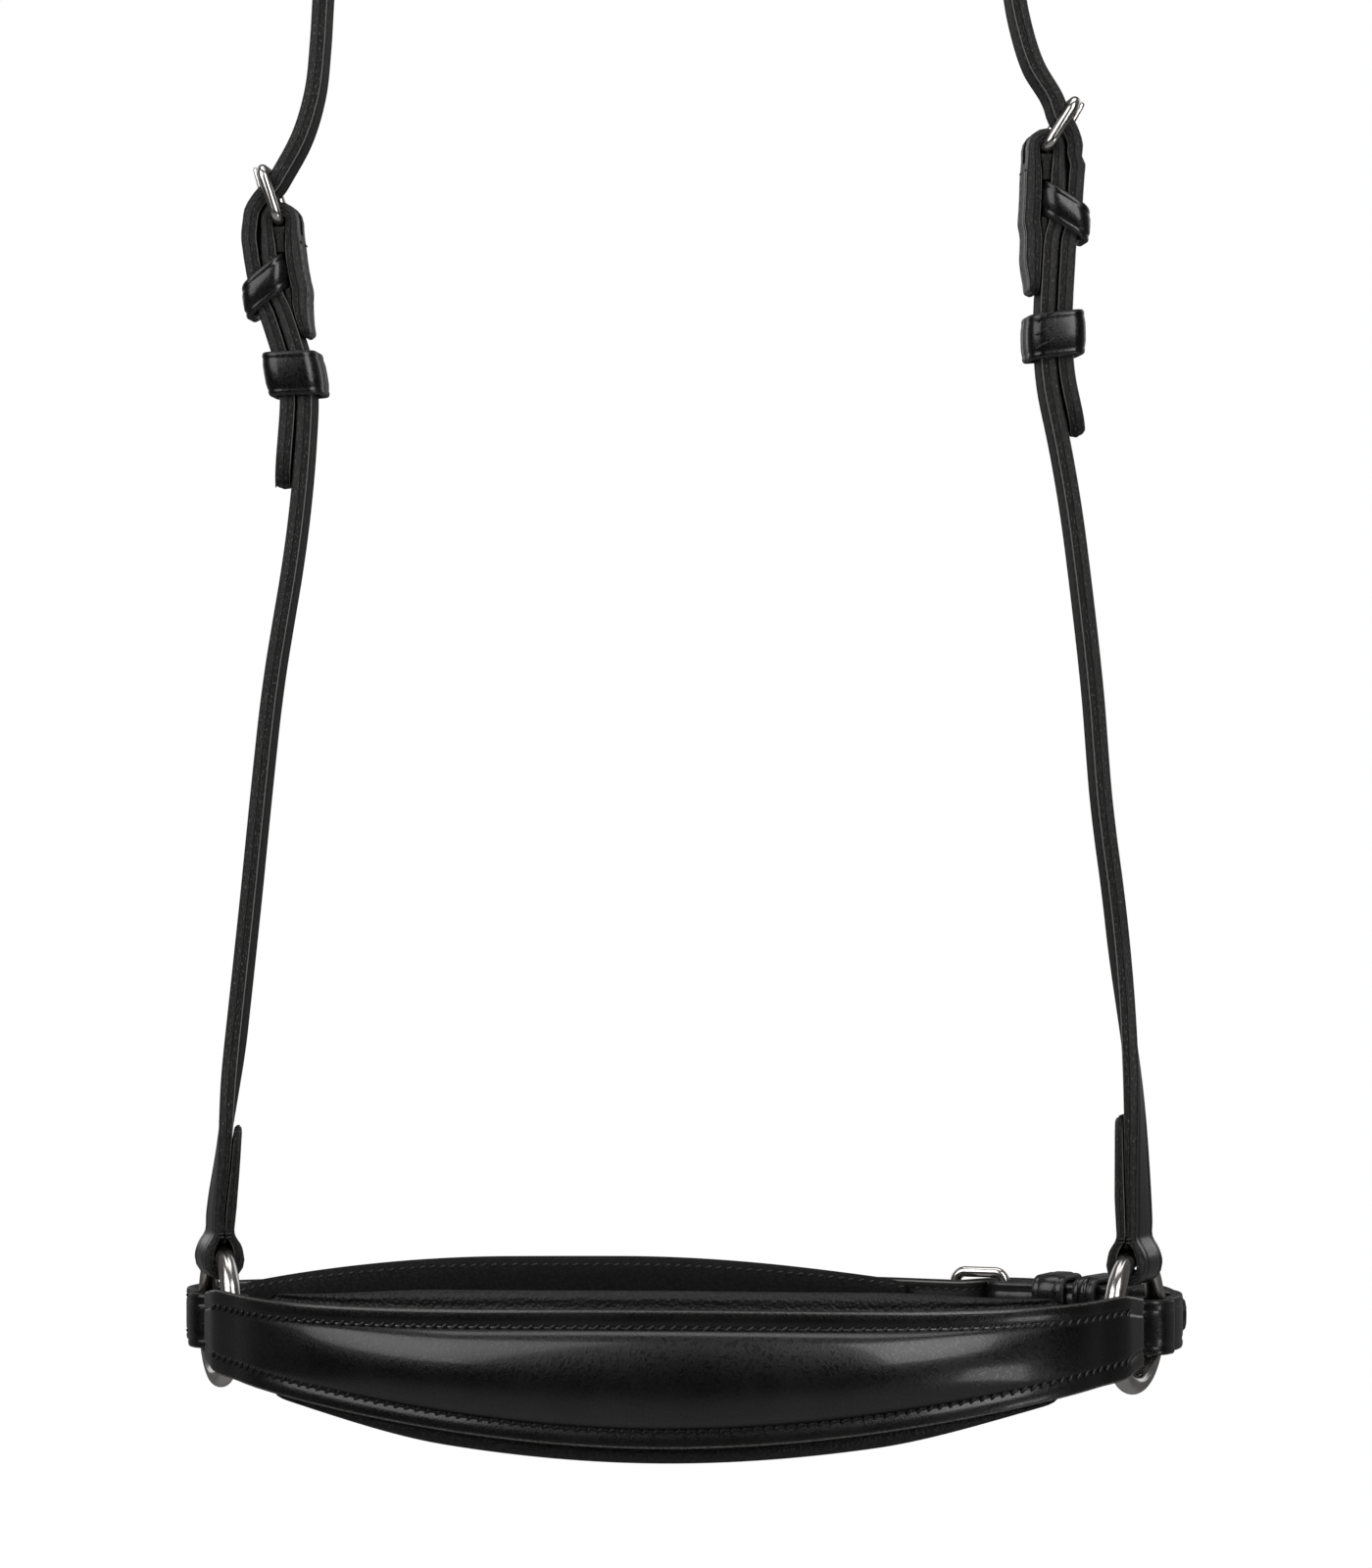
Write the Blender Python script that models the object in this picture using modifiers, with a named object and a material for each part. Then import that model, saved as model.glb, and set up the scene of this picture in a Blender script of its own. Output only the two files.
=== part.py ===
"""A ringed horse noseband hanging from its own head strap, built strap by strap at its real size.

The frame is the horse's: +X is its near side, -Y its front, +Z up. The origin is the underside of the
head strap where it lies over the poll. Straps are lofted along lines: a cheek line on each side, a nose
line in front and a jaw line behind, all of which start at the centre of a ring.
"""
import math

import bmesh
import bpy
from mathutils import Matrix, Vector

# Leather, in metres
STRAP_WIDTH = 0.014
OUTER_THICK = 0.0021
LINING_THICK = 0.0017
SEAT_GAP = 0.0003
EDGE_BEVEL = 0.0006
FOLD_THICK_SHARE = 0.75
TAIL_TIP_SHARE = 0.7

# Rings
RING_RADIUS = 0.01625
RING_WIRE_RADIUS = 0.0025
RING_HALF_SPAN = 0.117
RING_TURN = math.radians(20)
RING_LOOP_ROOM = 0.0005
CROWN_RISE = 0.510

# Buckles
BUCKLE_WIRE_RADIUS = 0.0014
BUCKLE_LENGTH = 0.0135
BUCKLE_SIDE_ROOM = 0.0006
BUCKLE_CORNER_RADIUS = 0.0020
TONGUE_WIDTH = 0.0024
TONGUE_EYE_WALL = 0.0013
TONGUE_ROOT_THICK = 0.0020
TONGUE_TIP_THICK = 0.0015
TONGUE_OVERHANG = 0.0016
SLOT_SIDE_ROOM = 0.0004
SLOT_LIFT_ROOM = 0.0036

# Keepers
KEEPER_THICK = 0.0016
KEEPER_SIDE_ROOM = 0.0005
KEEPER_CORNER_RADIUS = 0.0016
KEEPER_INSIDE_SHARE = 0.6
FIXED_KEEPER_HEIGHT = 0.0090
FIXED_KEEPER_ROOM = 0.0004
FIXED_KEEPER_DROP = 0.0130
FIXED_KEEPER_SHEAR_SHARE = 0.55
RUNNER_HEIGHT = 0.0115
RUNNER_ROOM = {"near": 0.0015, "off": 0.0013}

# Cheek straps: how high each buckle bar stands above its ring, and where folds and keepers lie
CHEEK_RISE = {"near": 0.297, "off": 0.280}
CHEEK_LOWER_TAIL = {"near": 0.054, "off": 0.050}
CHEEK_UPPER_TAIL = {"near": 0.038, "off": 0.030}
RUNNER_DROP = {"near": 0.048, "off": 0.040}
BILLET_DROP = {"near": 0.073, "off": 0.069}
BILLET_FLARE = {"near": 0.0022, "off": 0.0010}
FRAME_LEAN = {"near": math.radians(32), "off": math.radians(18)}
THROAT_LENGTH = 0.012
TWIST_START = 0.01875
TWIST_END = {"near": 0.100, "off": 0.0725}
SIDE_TURN = {"near": math.radians(9), "off": math.radians(0)}
SIDE_TURN_HUB_SHARE = 0.80
SIDE_TURN_END_SHARES = (0.16, 0.62)

# Billets and their punched holes
BILLET_TIP_LENGTH = 0.011
BILLET_TIP_WIDTH_SHARE = 0.34
BILLET_BENDS = (math.radians(72), math.radians(54))
BILLET_AFTER_TOE = math.radians(20)
PUNCH_RADIUS = 0.0016
PUNCH_DISTANCES = (0.0232, 0.0615)

# Routes as shares, (share of the rise, share of the rings' half span)
CHEEK_ROUTE_SHARES = {
    "near": [(0, 1), (0.06, 1), (0.10, 0.998), (0.19, 0.981), (0.34, 0.944), (0.44, 0.912), (0.54, 0.891),
             (0.64, 0.862), (0.70, 0.841), (0.75, 0.818), (0.80, 0.793), (0.85, 0.786), (0.91, 0.793),
             (0.96, 0.801), (1, 0.802)],
    "off": [(0, 1), (0.06, 1), (0.10, 0.995), (0.18, 0.965), (0.36, 0.917), (0.467, 0.891), (0.575, 0.862),
            (0.683, 0.820), (0.745, 0.801), (0.80, 0.790), (0.845, 0.787), (0.88, 0.803), (0.925, 0.836),
            (0.963, 0.855), (1, 0.861)],
}
# The head strap above the buckles, (share of the way up from the bar to the poll, share of the half span)
HEAD_ROUTE_SHARES = {
    "near": [(0.0997, 0.778), (0.162, 0.745), (0.2577, 0.722), (0.3775, 0.712), (0.5092, 0.7), (0.6408, 0.67),
             (0.7725, 0.6), (0.8851, 0.48), (0.9641, 0.31)],
    "off": [(0.0753, 0.835), (0.113, 0.8), (0.1685, 0.78), (0.2572, 0.768), (0.4013, 0.752), (0.5454, 0.725),
            (0.6674, 0.684), (0.7893, 0.605), (0.8936, 0.48), (0.9667, 0.31)],
}
CROWN_FLAT_SHARE = 0.10

# Nosepiece
NOSE_THICK = 0.0024
NOSE_MIDDLE_HEIGHT = 0.0340
NOSE_END_HEIGHT = 0.0215
NOSE_FOLD_HEIGHT = 0.0175
NOSE_LEAD = 0.025
NOSE_FRONT = 0.057
NOSE_LOOP_ROOM = 0.0010
NOSE_TAIL = 0.036
NOSE_TAIL_HEIGHT = 0.018
NOSE_RAISE = 0.0052
NOSE_RAISE_START = 0.032
NOSE_RAISE_RUN_SHARE = 0.45
NOSE_MARGIN = 0.0045
NOSE_END_DROP = 0.0020
NOSE_MIDDLE_DROP = 0.0096
FULLNESS_POWER = 0.8
SWELL_SHARES = (-1, -0.9, -0.66, -0.34, 0, 0.34, 0.66, 0.9, 1)

# Pads
PAD_START = 0.038
PAD_OVERHANG = 0.0042
PAD_THICK = 0.0072
PAD_END_HEIGHT = 0.0255
PAD_OPEN_SHARE = 0.36
PAD_END_THICK_SHARE = 0.55
PAD_TIP_WIDTH_SHARE = 0.72
PAD_TIP_THICK_SHARE = 0.2
PAD_TIP_SHARE = 0.08
PAD_SIDE_POWER = 0.75
PAD_FACE_POWER = 0.6

# Jaw strap, its buckle strap and its pad
JAW_LEAD = 0.023
JAW_BACK = 0.071
JAW_DROP = 0.0026
JAW_LOOP_ROOM = 0.0008
JAW_BAR = 0.088
JAW_OFF_TAIL = 0.042
JAW_BILLET = 0.060
JAW_FIXED_KEEPER = 0.0140
JAW_RUNNER = 0.0255
JAW_RUNNER_HEIGHT = 0.0065
JAW_RUNNER_ROOM = 0.0016
JAW_PAD_START = 0.053
JAW_PAD_END = 0.018
JAW_PAD_THICK = 0.0065
JAW_PAD_HEIGHT = 0.025
JAW_PAD_END_HEIGHT = 0.0155
JAW_PAD_OPEN_SHARE = 0.42

# Counts of stations and sides
BEND_STEPS = 8
CURVE_STEPS = 10
LEAD_STEPS = 6
NOSE_STEPS = 60
JAW_STEPS = 80
HEAD_STATIONS = 44
RING_STEPS = 32
RING_SIDES = 10
CORNER_STEPS = 3
EYE_STEPS = 12
BORE_STEPS = 10
TIP_STEPS = 4
DRILL_SIDES = 10
PAD_SIDES = 14

# Pitches of the stations along a strap
PLAIN_PITCH = 0.0125
TWIST_PITCH = 0.0035
KEEPER_PITCH = 0.0060
THROAT_PITCH = 0.0035
JAW_PITCH = 0.0090
NOSE_PITCH = 0.0083

# Levels of the layers, derived from the leather
LEATHER_DEPTH = OUTER_THICK + SEAT_GAP + LINING_THICK
LAYER_PITCH = LEATHER_DEPTH + SEAT_GAP
INNER_FACE = SEAT_GAP / 2 + LINING_THICK
OUTER_FACE = SEAT_GAP / 2 + OUTER_THICK
HALF_WIDTH = STRAP_WIDTH / 2
RING_END = RING_RADIUS + RING_WIRE_RADIUS
RING_HOLE = RING_RADIUS - RING_WIRE_RADIUS
RING_SEAT = math.sqrt(RING_HOLE ** 2 - HALF_WIDTH ** 2) + RING_WIRE_RADIUS
JAW_SEAT = math.sqrt(RING_HOLE ** 2 - (HALF_WIDTH + JAW_DROP) ** 2) + RING_WIRE_RADIUS
BAR_BEND = BUCKLE_WIRE_RADIUS + SEAT_GAP + INNER_FACE * FOLD_THICK_SHARE
PAIRED = INNER_FACE + SEAT_GAP / 2
JAW_AFTER_TOE = JAW_BAR + BUCKLE_LENGTH + BUCKLE_WIRE_RADIUS * 2
SIDES = {"near": 1, "off": -1}


def clear_scene():
    for item in list(bpy.data.objects):
        bpy.data.objects.remove(item, do_unlink=True)


def collection(name):
    made = bpy.data.collections.new(name)
    bpy.context.scene.collection.children.link(made)
    return made


def material(name, colour, roughness, metallic=0.0):
    made = bpy.data.materials.new(name)
    made.use_nodes = True
    shader = made.node_tree.nodes["Principled BSDF"]
    shader.inputs["Base Color"].default_value = (*colour, 1)
    shader.inputs["Roughness"].default_value = roughness
    shader.inputs["Metallic"].default_value = metallic
    return made


def ease(value):
    """Smooth 0 to 1."""
    value = min(1, max(0, value))
    return value * value * (3 - 2 * value)


def between(start, end, value):
    return start + (end - start) * value


# Lines in a plane
class Line:
    """A smooth line through points of a plane, measured by its length."""

    def __init__(self, points):
        self.points = points
        self.marks = [0]
        for first, second in zip(points, points[1:]):
            self.marks.append(self.marks[-1] + (second - first).length)
        self.length = self.marks[-1]

    def at(self, distance):
        """The point, and the direction of travel, at a distance from the start."""
        distance = min(self.length, max(0, distance))
        index = 0
        while index < len(self.marks) - 2 and self.marks[index + 1] < distance:
            index += 1
        span = self.marks[index + 1] - self.marks[index]
        share = (distance - self.marks[index]) / span
        point = self.points[index].lerp(self.points[index + 1], share)
        before = self.points[max(0, index - 1)]
        after = self.points[min(len(self.points) - 1, index + 2)]
        ahead = (self.points[index + 1] - before).lerp(after - self.points[index], share)
        return point, ahead.normalized()


def smooth(points):
    """Points of a Catmull-Rom curve through the given points."""
    padded = [points[0] * 2 - points[1], *points, points[-1] * 2 - points[-2]]
    curve = []
    for before, start, end, after in zip(padded, padded[1:], padded[2:], padded[3:]):
        for step in range(CURVE_STEPS):
            t = step / CURVE_STEPS
            curve.append(0.5 * (2 * start + (end - before) * t
                                + (2 * before - 5 * start + 4 * end - after) * t * t
                                + (3 * start - before - 3 * end + after) * t ** 3))
    return curve + [points[-1]]


def bezier(start, lead, trail, end, steps):
    curve = []
    for step in range(steps + 1):
        t = step / steps
        curve.append(start * (1 - t) ** 3 + lead * 3 * t * (1 - t) ** 2 + trail * 3 * t * t * (1 - t)
                     + end * t ** 3)
    return curve


def right_of(direction):
    return Vector((direction.y, -direction.x))


def spread(start, end, pitch):
    """Even stations from start to end, no further apart than the pitch."""
    count = max(1, math.ceil(abs(end - start) / pitch))
    return [between(start, end, step / count) for step in range(count + 1)]


# Strap paths: lists of (point, normal, thickness share, half width)
def half_turn(centre, start, ahead, radius):
    """Stations round a half circle that leaves along start and first moves ahead."""
    stations = []
    for step in range(1, BEND_STEPS):
        angle = math.pi * step / BEND_STEPS
        normal = start * math.cos(angle) + ahead * math.sin(angle)
        stations.append((centre + normal * radius, normal, FOLD_THICK_SHARE, HALF_WIDTH))
    return stations


def loft(name, sections, finish, parts):
    """A closed body through a row of closed sections with equal counts."""
    mesh = bmesh.new()
    rows = [[mesh.verts.new(point) for point in section] for section in sections]
    for first, second in zip(rows, rows[1:]):
        for index in range(len(first)):
            following = (index + 1) % len(first)
            mesh.faces.new((first[index], first[following], second[following], second[index]))
    mesh.faces.new(rows[0])
    mesh.faces.new(rows[-1])
    bmesh.ops.recalc_face_normals(mesh, faces=mesh.faces)
    return finish_mesh(name, mesh, finish, parts)


def finish_mesh(name, mesh, finish, parts):
    data = bpy.data.meshes.new(name)
    mesh.to_mesh(data)
    mesh.free()
    data.materials.append(finish)
    data.shade_smooth()
    data.set_sharp_from_angle(angle=math.radians(35))
    made = bpy.data.objects.new(name, data)
    parts.objects.link(made)
    return made


def band(stations, low, high, place, bevelled):
    """Sections of a leather layer that lies between two offsets from its path."""
    sections = []
    for point, normal, share, half in stations:
        edge = EDGE_BEVEL * share
        outline = [(low, -half), (low, half)]
        if bevelled:
            outline += [(high - edge, half), (high, half - edge), (high, edge - half), (high - edge, -half)]
        else:
            outline += [(high, half), (high, -half)]
        sections.append([place(point + normal * offset * share, side) for offset, side in outline])
    return sections


def tapered(stations, tip_length, tip_share):
    """The same stations, with the first ones drawn in to a blunt point."""
    start = stations[0][0]
    shaped = []
    for point, normal, share, half in stations:
        reach = min(1, (point - start).length / tip_length)
        width_share = between(tip_share, 1, math.sqrt(1 - (1 - reach) ** 2))
        shaped.append((point, normal, share, half * width_share))
    return shaped


# Cutters
def cutter_box(name, frame, low, high, cutters):
    """A box between two corners of a frame, kept for cutting only."""
    mesh = bmesh.new()
    bmesh.ops.create_cube(mesh, size=1)
    size = Matrix.Diagonal((high - low).to_4d())
    bmesh.ops.transform(mesh, matrix=frame @ Matrix.Translation((low + high) / 2) @ size, verts=mesh.verts)
    return keep_cutter(name, mesh, cutters)


def cutter_drill(name, centre, direction, radius, reach, cutters):
    mesh = bmesh.new()
    bmesh.ops.create_cone(mesh, cap_ends=True, segments=DRILL_SIDES, radius1=radius, radius2=radius,
                          depth=reach)
    turn = Vector((0, 0, 1)).rotation_difference(direction).to_matrix().to_4x4()
    bmesh.ops.transform(mesh, matrix=Matrix.Translation(centre) @ turn, verts=mesh.verts)
    return keep_cutter(name, mesh, cutters)


def keep_cutter(name, mesh, cutters):
    bmesh.ops.recalc_face_normals(mesh, faces=mesh.faces)
    data = bpy.data.meshes.new(name)
    mesh.to_mesh(data)
    mesh.free()
    made = bpy.data.objects.new(name, data)
    made.hide_render = True
    made.display_type = "WIRE"
    cutters.objects.link(made)
    return made


def cut(target, cutter):
    step = target.modifiers.new(cutter.name, "BOOLEAN")
    step.operation = "DIFFERENCE"
    step.solver = "EXACT"
    step.object = cutter


# Planes: each turns a point of its plane and a place across the strap into the real place
def upright(side):
    """The plane of one side's head and cheek straps, with x outwards. It is turned about upright lines:
    with the ring below, by the side's own turn at the buckle, and not at all at the poll."""
    rise = CHEEK_RISE[side]
    start, end = SIDE_TURN_END_SHARES

    def place(point, across):
        above_ring = ease((point.y - TWIST_START) / (TWIST_END[side] - TWIST_START))
        way_up = (point.y - rise) / (CROWN_RISE - rise)
        side_turn = SIDE_TURN[side] * (1 - ease((way_up - start) / (end - start)))
        turn = Matrix.Rotation(between(-RING_TURN, side_turn, above_ring), 3, "Z")
        hub = Vector((RING_HALF_SPAN * between(1, SIDE_TURN_HUB_SHARE, above_ring), 0, 0))
        turned = hub + turn @ (Vector((point.x, across, point.y - CROWN_RISE)) - hub)
        return Vector((SIDES[side] * turned.x, turned.y, turned.z))

    return place


def level(drop):
    """The horizontal plane of the noseband, let down by a drop that varies along it."""
    def place(point, across):
        return Vector((point.x, point.y, -CROWN_RISE - drop(point) + across))
    return place


def frame_at(origin, along, outward, place):
    """A frame with x along, y outward and z across, from a place in a plane."""
    base = place(origin, 0)
    step = RING_WIRE_RADIUS
    x_axis = (place(origin + along * step, 0) - base).normalized()
    y_axis = place(origin + outward * step, 0) - base
    y_axis = (y_axis - x_axis * y_axis.dot(x_axis)).normalized()
    frame = Matrix((x_axis, y_axis, x_axis.cross(y_axis))).transposed().to_4x4()
    return Matrix.Translation(base) @ frame


# Metal pieces
def ring(name, side, finish, parts):
    bpy.ops.mesh.primitive_torus_add(major_radius=RING_RADIUS, minor_radius=RING_WIRE_RADIUS,
                                     major_segments=RING_STEPS, minor_segments=RING_SIDES)
    made = bpy.context.object
    made.name = name
    made.data.name = name
    made.data.materials.append(finish)
    made.data.shade_smooth()
    made.location = (side * RING_HALF_SPAN, 0, -CROWN_RISE)
    made.rotation_euler = (0, math.pi / 2, -side * RING_TURN)
    for old in made.users_collection:
        old.objects.unlink(made)
    parts.objects.link(made)
    return made


def buckle_frame(name, frame, finish, parts):
    """A closed wire frame: the bar on the frame's origin, the toe a buckle length along x."""
    half_side = HALF_WIDTH + BUCKLE_SIDE_ROOM + BUCKLE_WIRE_RADIUS
    corner = BUCKLE_CORNER_RADIUS
    corners = [(0, -1), (BUCKLE_LENGTH, -1), (BUCKLE_LENGTH, 1), (0, 1)]
    points = []
    for index, (along, across) in enumerate(corners):
        inward = Vector((corner if index in (0, 3) else -corner, -across * corner))
        centre = Vector((along, across * half_side)) + inward
        for step in range(CORNER_STEPS + 1):
            angle = math.pi * (1 + index / 2 + step / CORNER_STEPS / 2)
            points.append(centre + corner * Vector((math.cos(angle), math.sin(angle))))
    curve = bpy.data.curves.new(name, "CURVE")
    curve.dimensions = "3D"
    spline = curve.splines.new("POLY")
    spline.points.add(len(points) - 1)
    for knot, point in zip(spline.points, points):
        knot.co = (point.x, 0, point.y, 1)
    spline.use_cyclic_u = True
    curve.bevel_depth = BUCKLE_WIRE_RADIUS
    curve.bevel_resolution = 2
    curve.materials.append(finish)
    made = bpy.data.objects.new(name, curve)
    made.matrix_world = frame
    parts.objects.link(made)
    return made


def flat_piece(name, outlines, half_depth, frame, shape, finish, parts):
    """A flat outline with its holes, given a thickness, shaped by a matrix and set on a frame."""
    curve = bpy.data.curves.new(name, "CURVE")
    curve.dimensions = "2D"
    curve.fill_mode = "BOTH"
    curve.extrude = half_depth
    for outline in outlines:
        spline = curve.splines.new("POLY")
        spline.points.add(len(outline) - 1)
        for knot, point in zip(spline.points, outline):
            knot.co = (point.x, point.y, 0, 1)
        spline.use_cyclic_u = True
    holder = bpy.data.objects.new(name + "_outline", curve)
    parts.objects.link(holder)
    evaluated = holder.evaluated_get(bpy.context.evaluated_depsgraph_get())
    data = bpy.data.meshes.new_from_object(evaluated)
    bpy.data.objects.remove(holder, do_unlink=True)
    mesh = bmesh.new()
    mesh.from_mesh(data)
    bmesh.ops.remove_doubles(mesh, verts=mesh.verts, dist=EDGE_BEVEL / 100)
    bmesh.ops.transform(mesh, matrix=shape, verts=mesh.verts)
    bmesh.ops.recalc_face_normals(mesh, faces=mesh.faces)
    made = finish_mesh(name, mesh, finish, parts)
    made.matrix_world = frame
    return made


def arc(centre, radius, start, end, steps):
    return [centre + radius * Vector((math.cos(between(start, end, step / steps)),
                                      math.sin(between(start, end, step / steps))))
            for step in range(steps + 1)]


def tongue(name, frame, finish, parts):
    """An eye round the bar and an arm that lies on the toe, cut from one flat outline."""
    bore = BUCKLE_WIRE_RADIUS + SEAT_GAP
    eye = bore + TONGUE_EYE_WALL
    rest = BUCKLE_WIRE_RADIUS + SEAT_GAP
    tip = BUCKLE_LENGTH + TONGUE_OVERHANG
    root_low = math.asin(min(1, (rest + SEAT_GAP) / eye) / 2)
    root_high = math.asin(min(1, (rest + TONGUE_ROOT_THICK / 2) / eye))
    outline = arc(Vector((0, 0)), eye, root_high, math.tau + root_low, EYE_STEPS)
    tip_centre = Vector((tip, rest + TONGUE_TIP_THICK / 2))
    outline += [Vector((BUCKLE_LENGTH - BUCKLE_WIRE_RADIUS, rest))]
    outline += arc(tip_centre, TONGUE_TIP_THICK / 2, -math.pi / 2, math.pi / 2, TIP_STEPS)
    outline += [Vector((BUCKLE_LENGTH / 2, rest + TONGUE_ROOT_THICK))]
    hole = list(reversed(arc(Vector((0, 0)), bore, 0, math.tau, BORE_STEPS)[:-1]))
    return flat_piece(name, [outline, hole], TONGUE_WIDTH / 2, frame, Matrix.Identity(4), finish, parts)


def keeper(name, frame, low, high, height, room, shear_share, finish, parts):
    """A leather band round the layers between two levels, its outside edge let down by the shear."""
    inside_half = HALF_WIDTH + KEEPER_SIDE_ROOM
    outlines = []
    for grow in (KEEPER_THICK, 0):
        left, right = low - room - grow, high + room + grow
        half = inside_half + grow
        inside_corner = KEEPER_CORNER_RADIUS - KEEPER_THICK * KEEPER_INSIDE_SHARE
        round_off = KEEPER_CORNER_RADIUS if grow else inside_corner
        points = []
        for index, corner in enumerate([(right, half), (left, half), (left, -half), (right, -half)]):
            sign_x = 1 if index in (0, 3) else -1
            sign_y = 1 if index in (0, 1) else -1
            centre = Vector((corner[0] - sign_x * round_off, corner[1] - sign_y * round_off))
            points += arc(centre, round_off, math.pi * index / 2, math.pi * (index + 1) / 2, CORNER_STEPS)
        outlines.append(points if grow else list(reversed(points)))
    shear = Matrix.Identity(4)
    shear[2][0] = shear_share
    turn = Matrix(((0, 0, 1, 0), (1, 0, 0, 0), (0, 1, 0, 0), (0, 0, 0, 1)))
    return flat_piece(name, outlines, height / 2, frame, turn @ shear, finish, parts)


def keeper_frame(line, distance, height, place):
    """A frame for a straight keeper on a bent strap: half way between the strap's chord and its bow."""
    low = line.at(distance - height / 2)[0]
    high = line.at(distance + height / 2)[0]
    ahead = (high - low).normalized()
    middle = ((low + high) / 2 + line.at(distance)[0]) / 2
    return frame_at(middle, ahead, right_of(ahead), place)


# The crossing of a billet through its buckle
def crossing(frame_origin, along, outward):
    """Stations of a billet from outside the bar to inside the toe: a crossed belt round two circles."""
    bar_round = (BUCKLE_WIRE_RADIUS + SEAT_GAP + LEATHER_DEPTH * FOLD_THICK_SHARE + SEAT_GAP + INNER_FACE
                 + SEAT_GAP)
    toe_round = BUCKLE_WIRE_RADIUS + SEAT_GAP * 2 + OUTER_FACE
    lean = math.acos((bar_round + toe_round) / BUCKLE_LENGTH)
    stations = []
    for angle in (*BILLET_BENDS, lean):
        normal = along * math.cos(angle) + outward * math.sin(angle)
        stations.append((frame_origin + normal * bar_round, normal))
    toe = frame_origin + along * BUCKLE_LENGTH
    for angle in (lean, lean + BILLET_AFTER_TOE):
        normal = along * math.cos(angle) + outward * math.sin(angle)
        stations.append((toe - normal * toe_round, normal))
    return stations


def slot_in_billet(name, frame, cutters):
    """The slot that the tongue's arm goes through, with room for its lift."""
    half = TONGUE_WIDTH / 2 + SLOT_SIDE_ROOM
    low = Vector((BUCKLE_WIRE_RADIUS + TONGUE_EYE_WALL + SEAT_GAP, BUCKLE_WIRE_RADIUS / 2, -half))
    high = Vector((BUCKLE_LENGTH, BUCKLE_WIRE_RADIUS + TONGUE_ROOT_THICK + SLOT_LIFT_ROOM, half))
    return cutter_box(name, frame, low, high, cutters)


def slot_in_fold(name, frame, cutters):
    """The slot in the folded strap for the tongue's eye."""
    half = TONGUE_WIDTH / 2 + SLOT_SIDE_ROOM
    deep = BUCKLE_WIRE_RADIUS + TONGUE_EYE_WALL + SEAT_GAP * 3
    wide = BUCKLE_WIRE_RADIUS + LEATHER_DEPTH + SEAT_GAP * 4
    low = Vector((-deep, -wide, -half))
    high = Vector((wide, wide, half))
    return cutter_box(name, frame, low, high, cutters)


# Head and cheek straps
def cheek_line(side):
    rise = CHEEK_RISE[side]
    return Line(smooth([Vector((RING_HALF_SPAN * across, rise * up))
                        for up, across in CHEEK_ROUTE_SHARES[side]]))


def ring_bend(room):
    """The radius of a folded strap's middle surface round the ring's wire."""
    return RING_WIRE_RADIUS + room + INNER_FACE * FOLD_THICK_SHARE


def cheek_levels(line):
    """The folded strap's distance from its line and its thickness share, by the distance along the line."""
    keeper_pair = INNER_FACE + SEAT_GAP + KEEPER_THICK / 2

    def level_at(distance):
        from_bar = line.length - distance
        if distance < line.length / 2:
            return between(ring_bend(RING_LOOP_ROOM), PAIRED, ease((distance - RING_END) / THROAT_LENGTH))
        past_keeper = FIXED_KEEPER_DROP + FIXED_KEEPER_HEIGHT
        if from_bar < FIXED_KEEPER_DROP / 2:
            return between(BAR_BEND, keeper_pair, ease(from_bar / FIXED_KEEPER_DROP * 2))
        return between(keeper_pair, PAIRED, ease((from_bar - past_keeper) / THROAT_LENGTH))

    def share_at(distance):
        from_ring = (distance - RING_END) / THROAT_LENGTH
        from_bar = (line.length - distance - BUCKLE_WIRE_RADIUS) / (FIXED_KEEPER_DROP / 2)
        return between(FOLD_THICK_SHARE, 1, min(ease(from_ring), ease(from_bar)))

    return level_at, share_at


def cheek_distances(side, line):
    """Stations along a cheek line: close at the folds and keepers, wide along the plain strap."""
    length = line.length
    top_zone = length - BILLET_DROP[side]
    low = spread(RING_SEAT, TWIST_END[side], TWIST_PITCH)
    middle = spread(TWIST_END[side], top_zone, PLAIN_PITCH)[1:]
    high = spread(top_zone, length - FIXED_KEEPER_DROP, KEEPER_PITCH)[1:]
    last = spread(length - FIXED_KEEPER_DROP, length, THROAT_PITCH)[1:]
    return low + middle + high + last


def cheek_strap(side, finish_outer, finish_lining, parts):
    line = cheek_line(side)
    level_at, share_at = cheek_levels(line)
    distances = cheek_distances(side, line)

    def station(distance, sign):
        point, ahead = line.at(distance)
        out = right_of(ahead)
        return (point + out * sign * level_at(distance), out * sign, share_at(distance), HALF_WIDTH)

    lower_tail = [d for d in distances if d <= CHEEK_LOWER_TAIL[side]]
    upper_tail = [d for d in distances if d >= line.length - CHEEK_UPPER_TAIL[side]]
    ring_point, ring_ahead = line.at(RING_SEAT)
    bar_point, bar_ahead = line.at(line.length)
    stations = tapered([station(d, -1) for d in reversed(lower_tail)], THROAT_LENGTH / 2, TAIL_TIP_SHARE)
    stations += half_turn(ring_point, -right_of(ring_ahead), -ring_ahead, ring_bend(RING_LOOP_ROOM))
    stations += [station(d, 1) for d in distances]
    stations += half_turn(bar_point, right_of(bar_ahead), bar_ahead, BAR_BEND)
    top = tapered([station(d, -1) for d in upper_tail], THROAT_LENGTH / 2, TAIL_TIP_SHARE)
    stations += list(reversed(top))
    place = upright(side)
    outer = loft("cheek_strap_" + side, band(stations, SEAT_GAP / 2, OUTER_FACE, place, True),
                 finish_outer, parts)
    lining = loft("cheek_lining_" + side, band(stations, -INNER_FACE, -SEAT_GAP / 2, place, False),
                  finish_lining, parts)
    return line, level_at, distances, outer, lining


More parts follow.
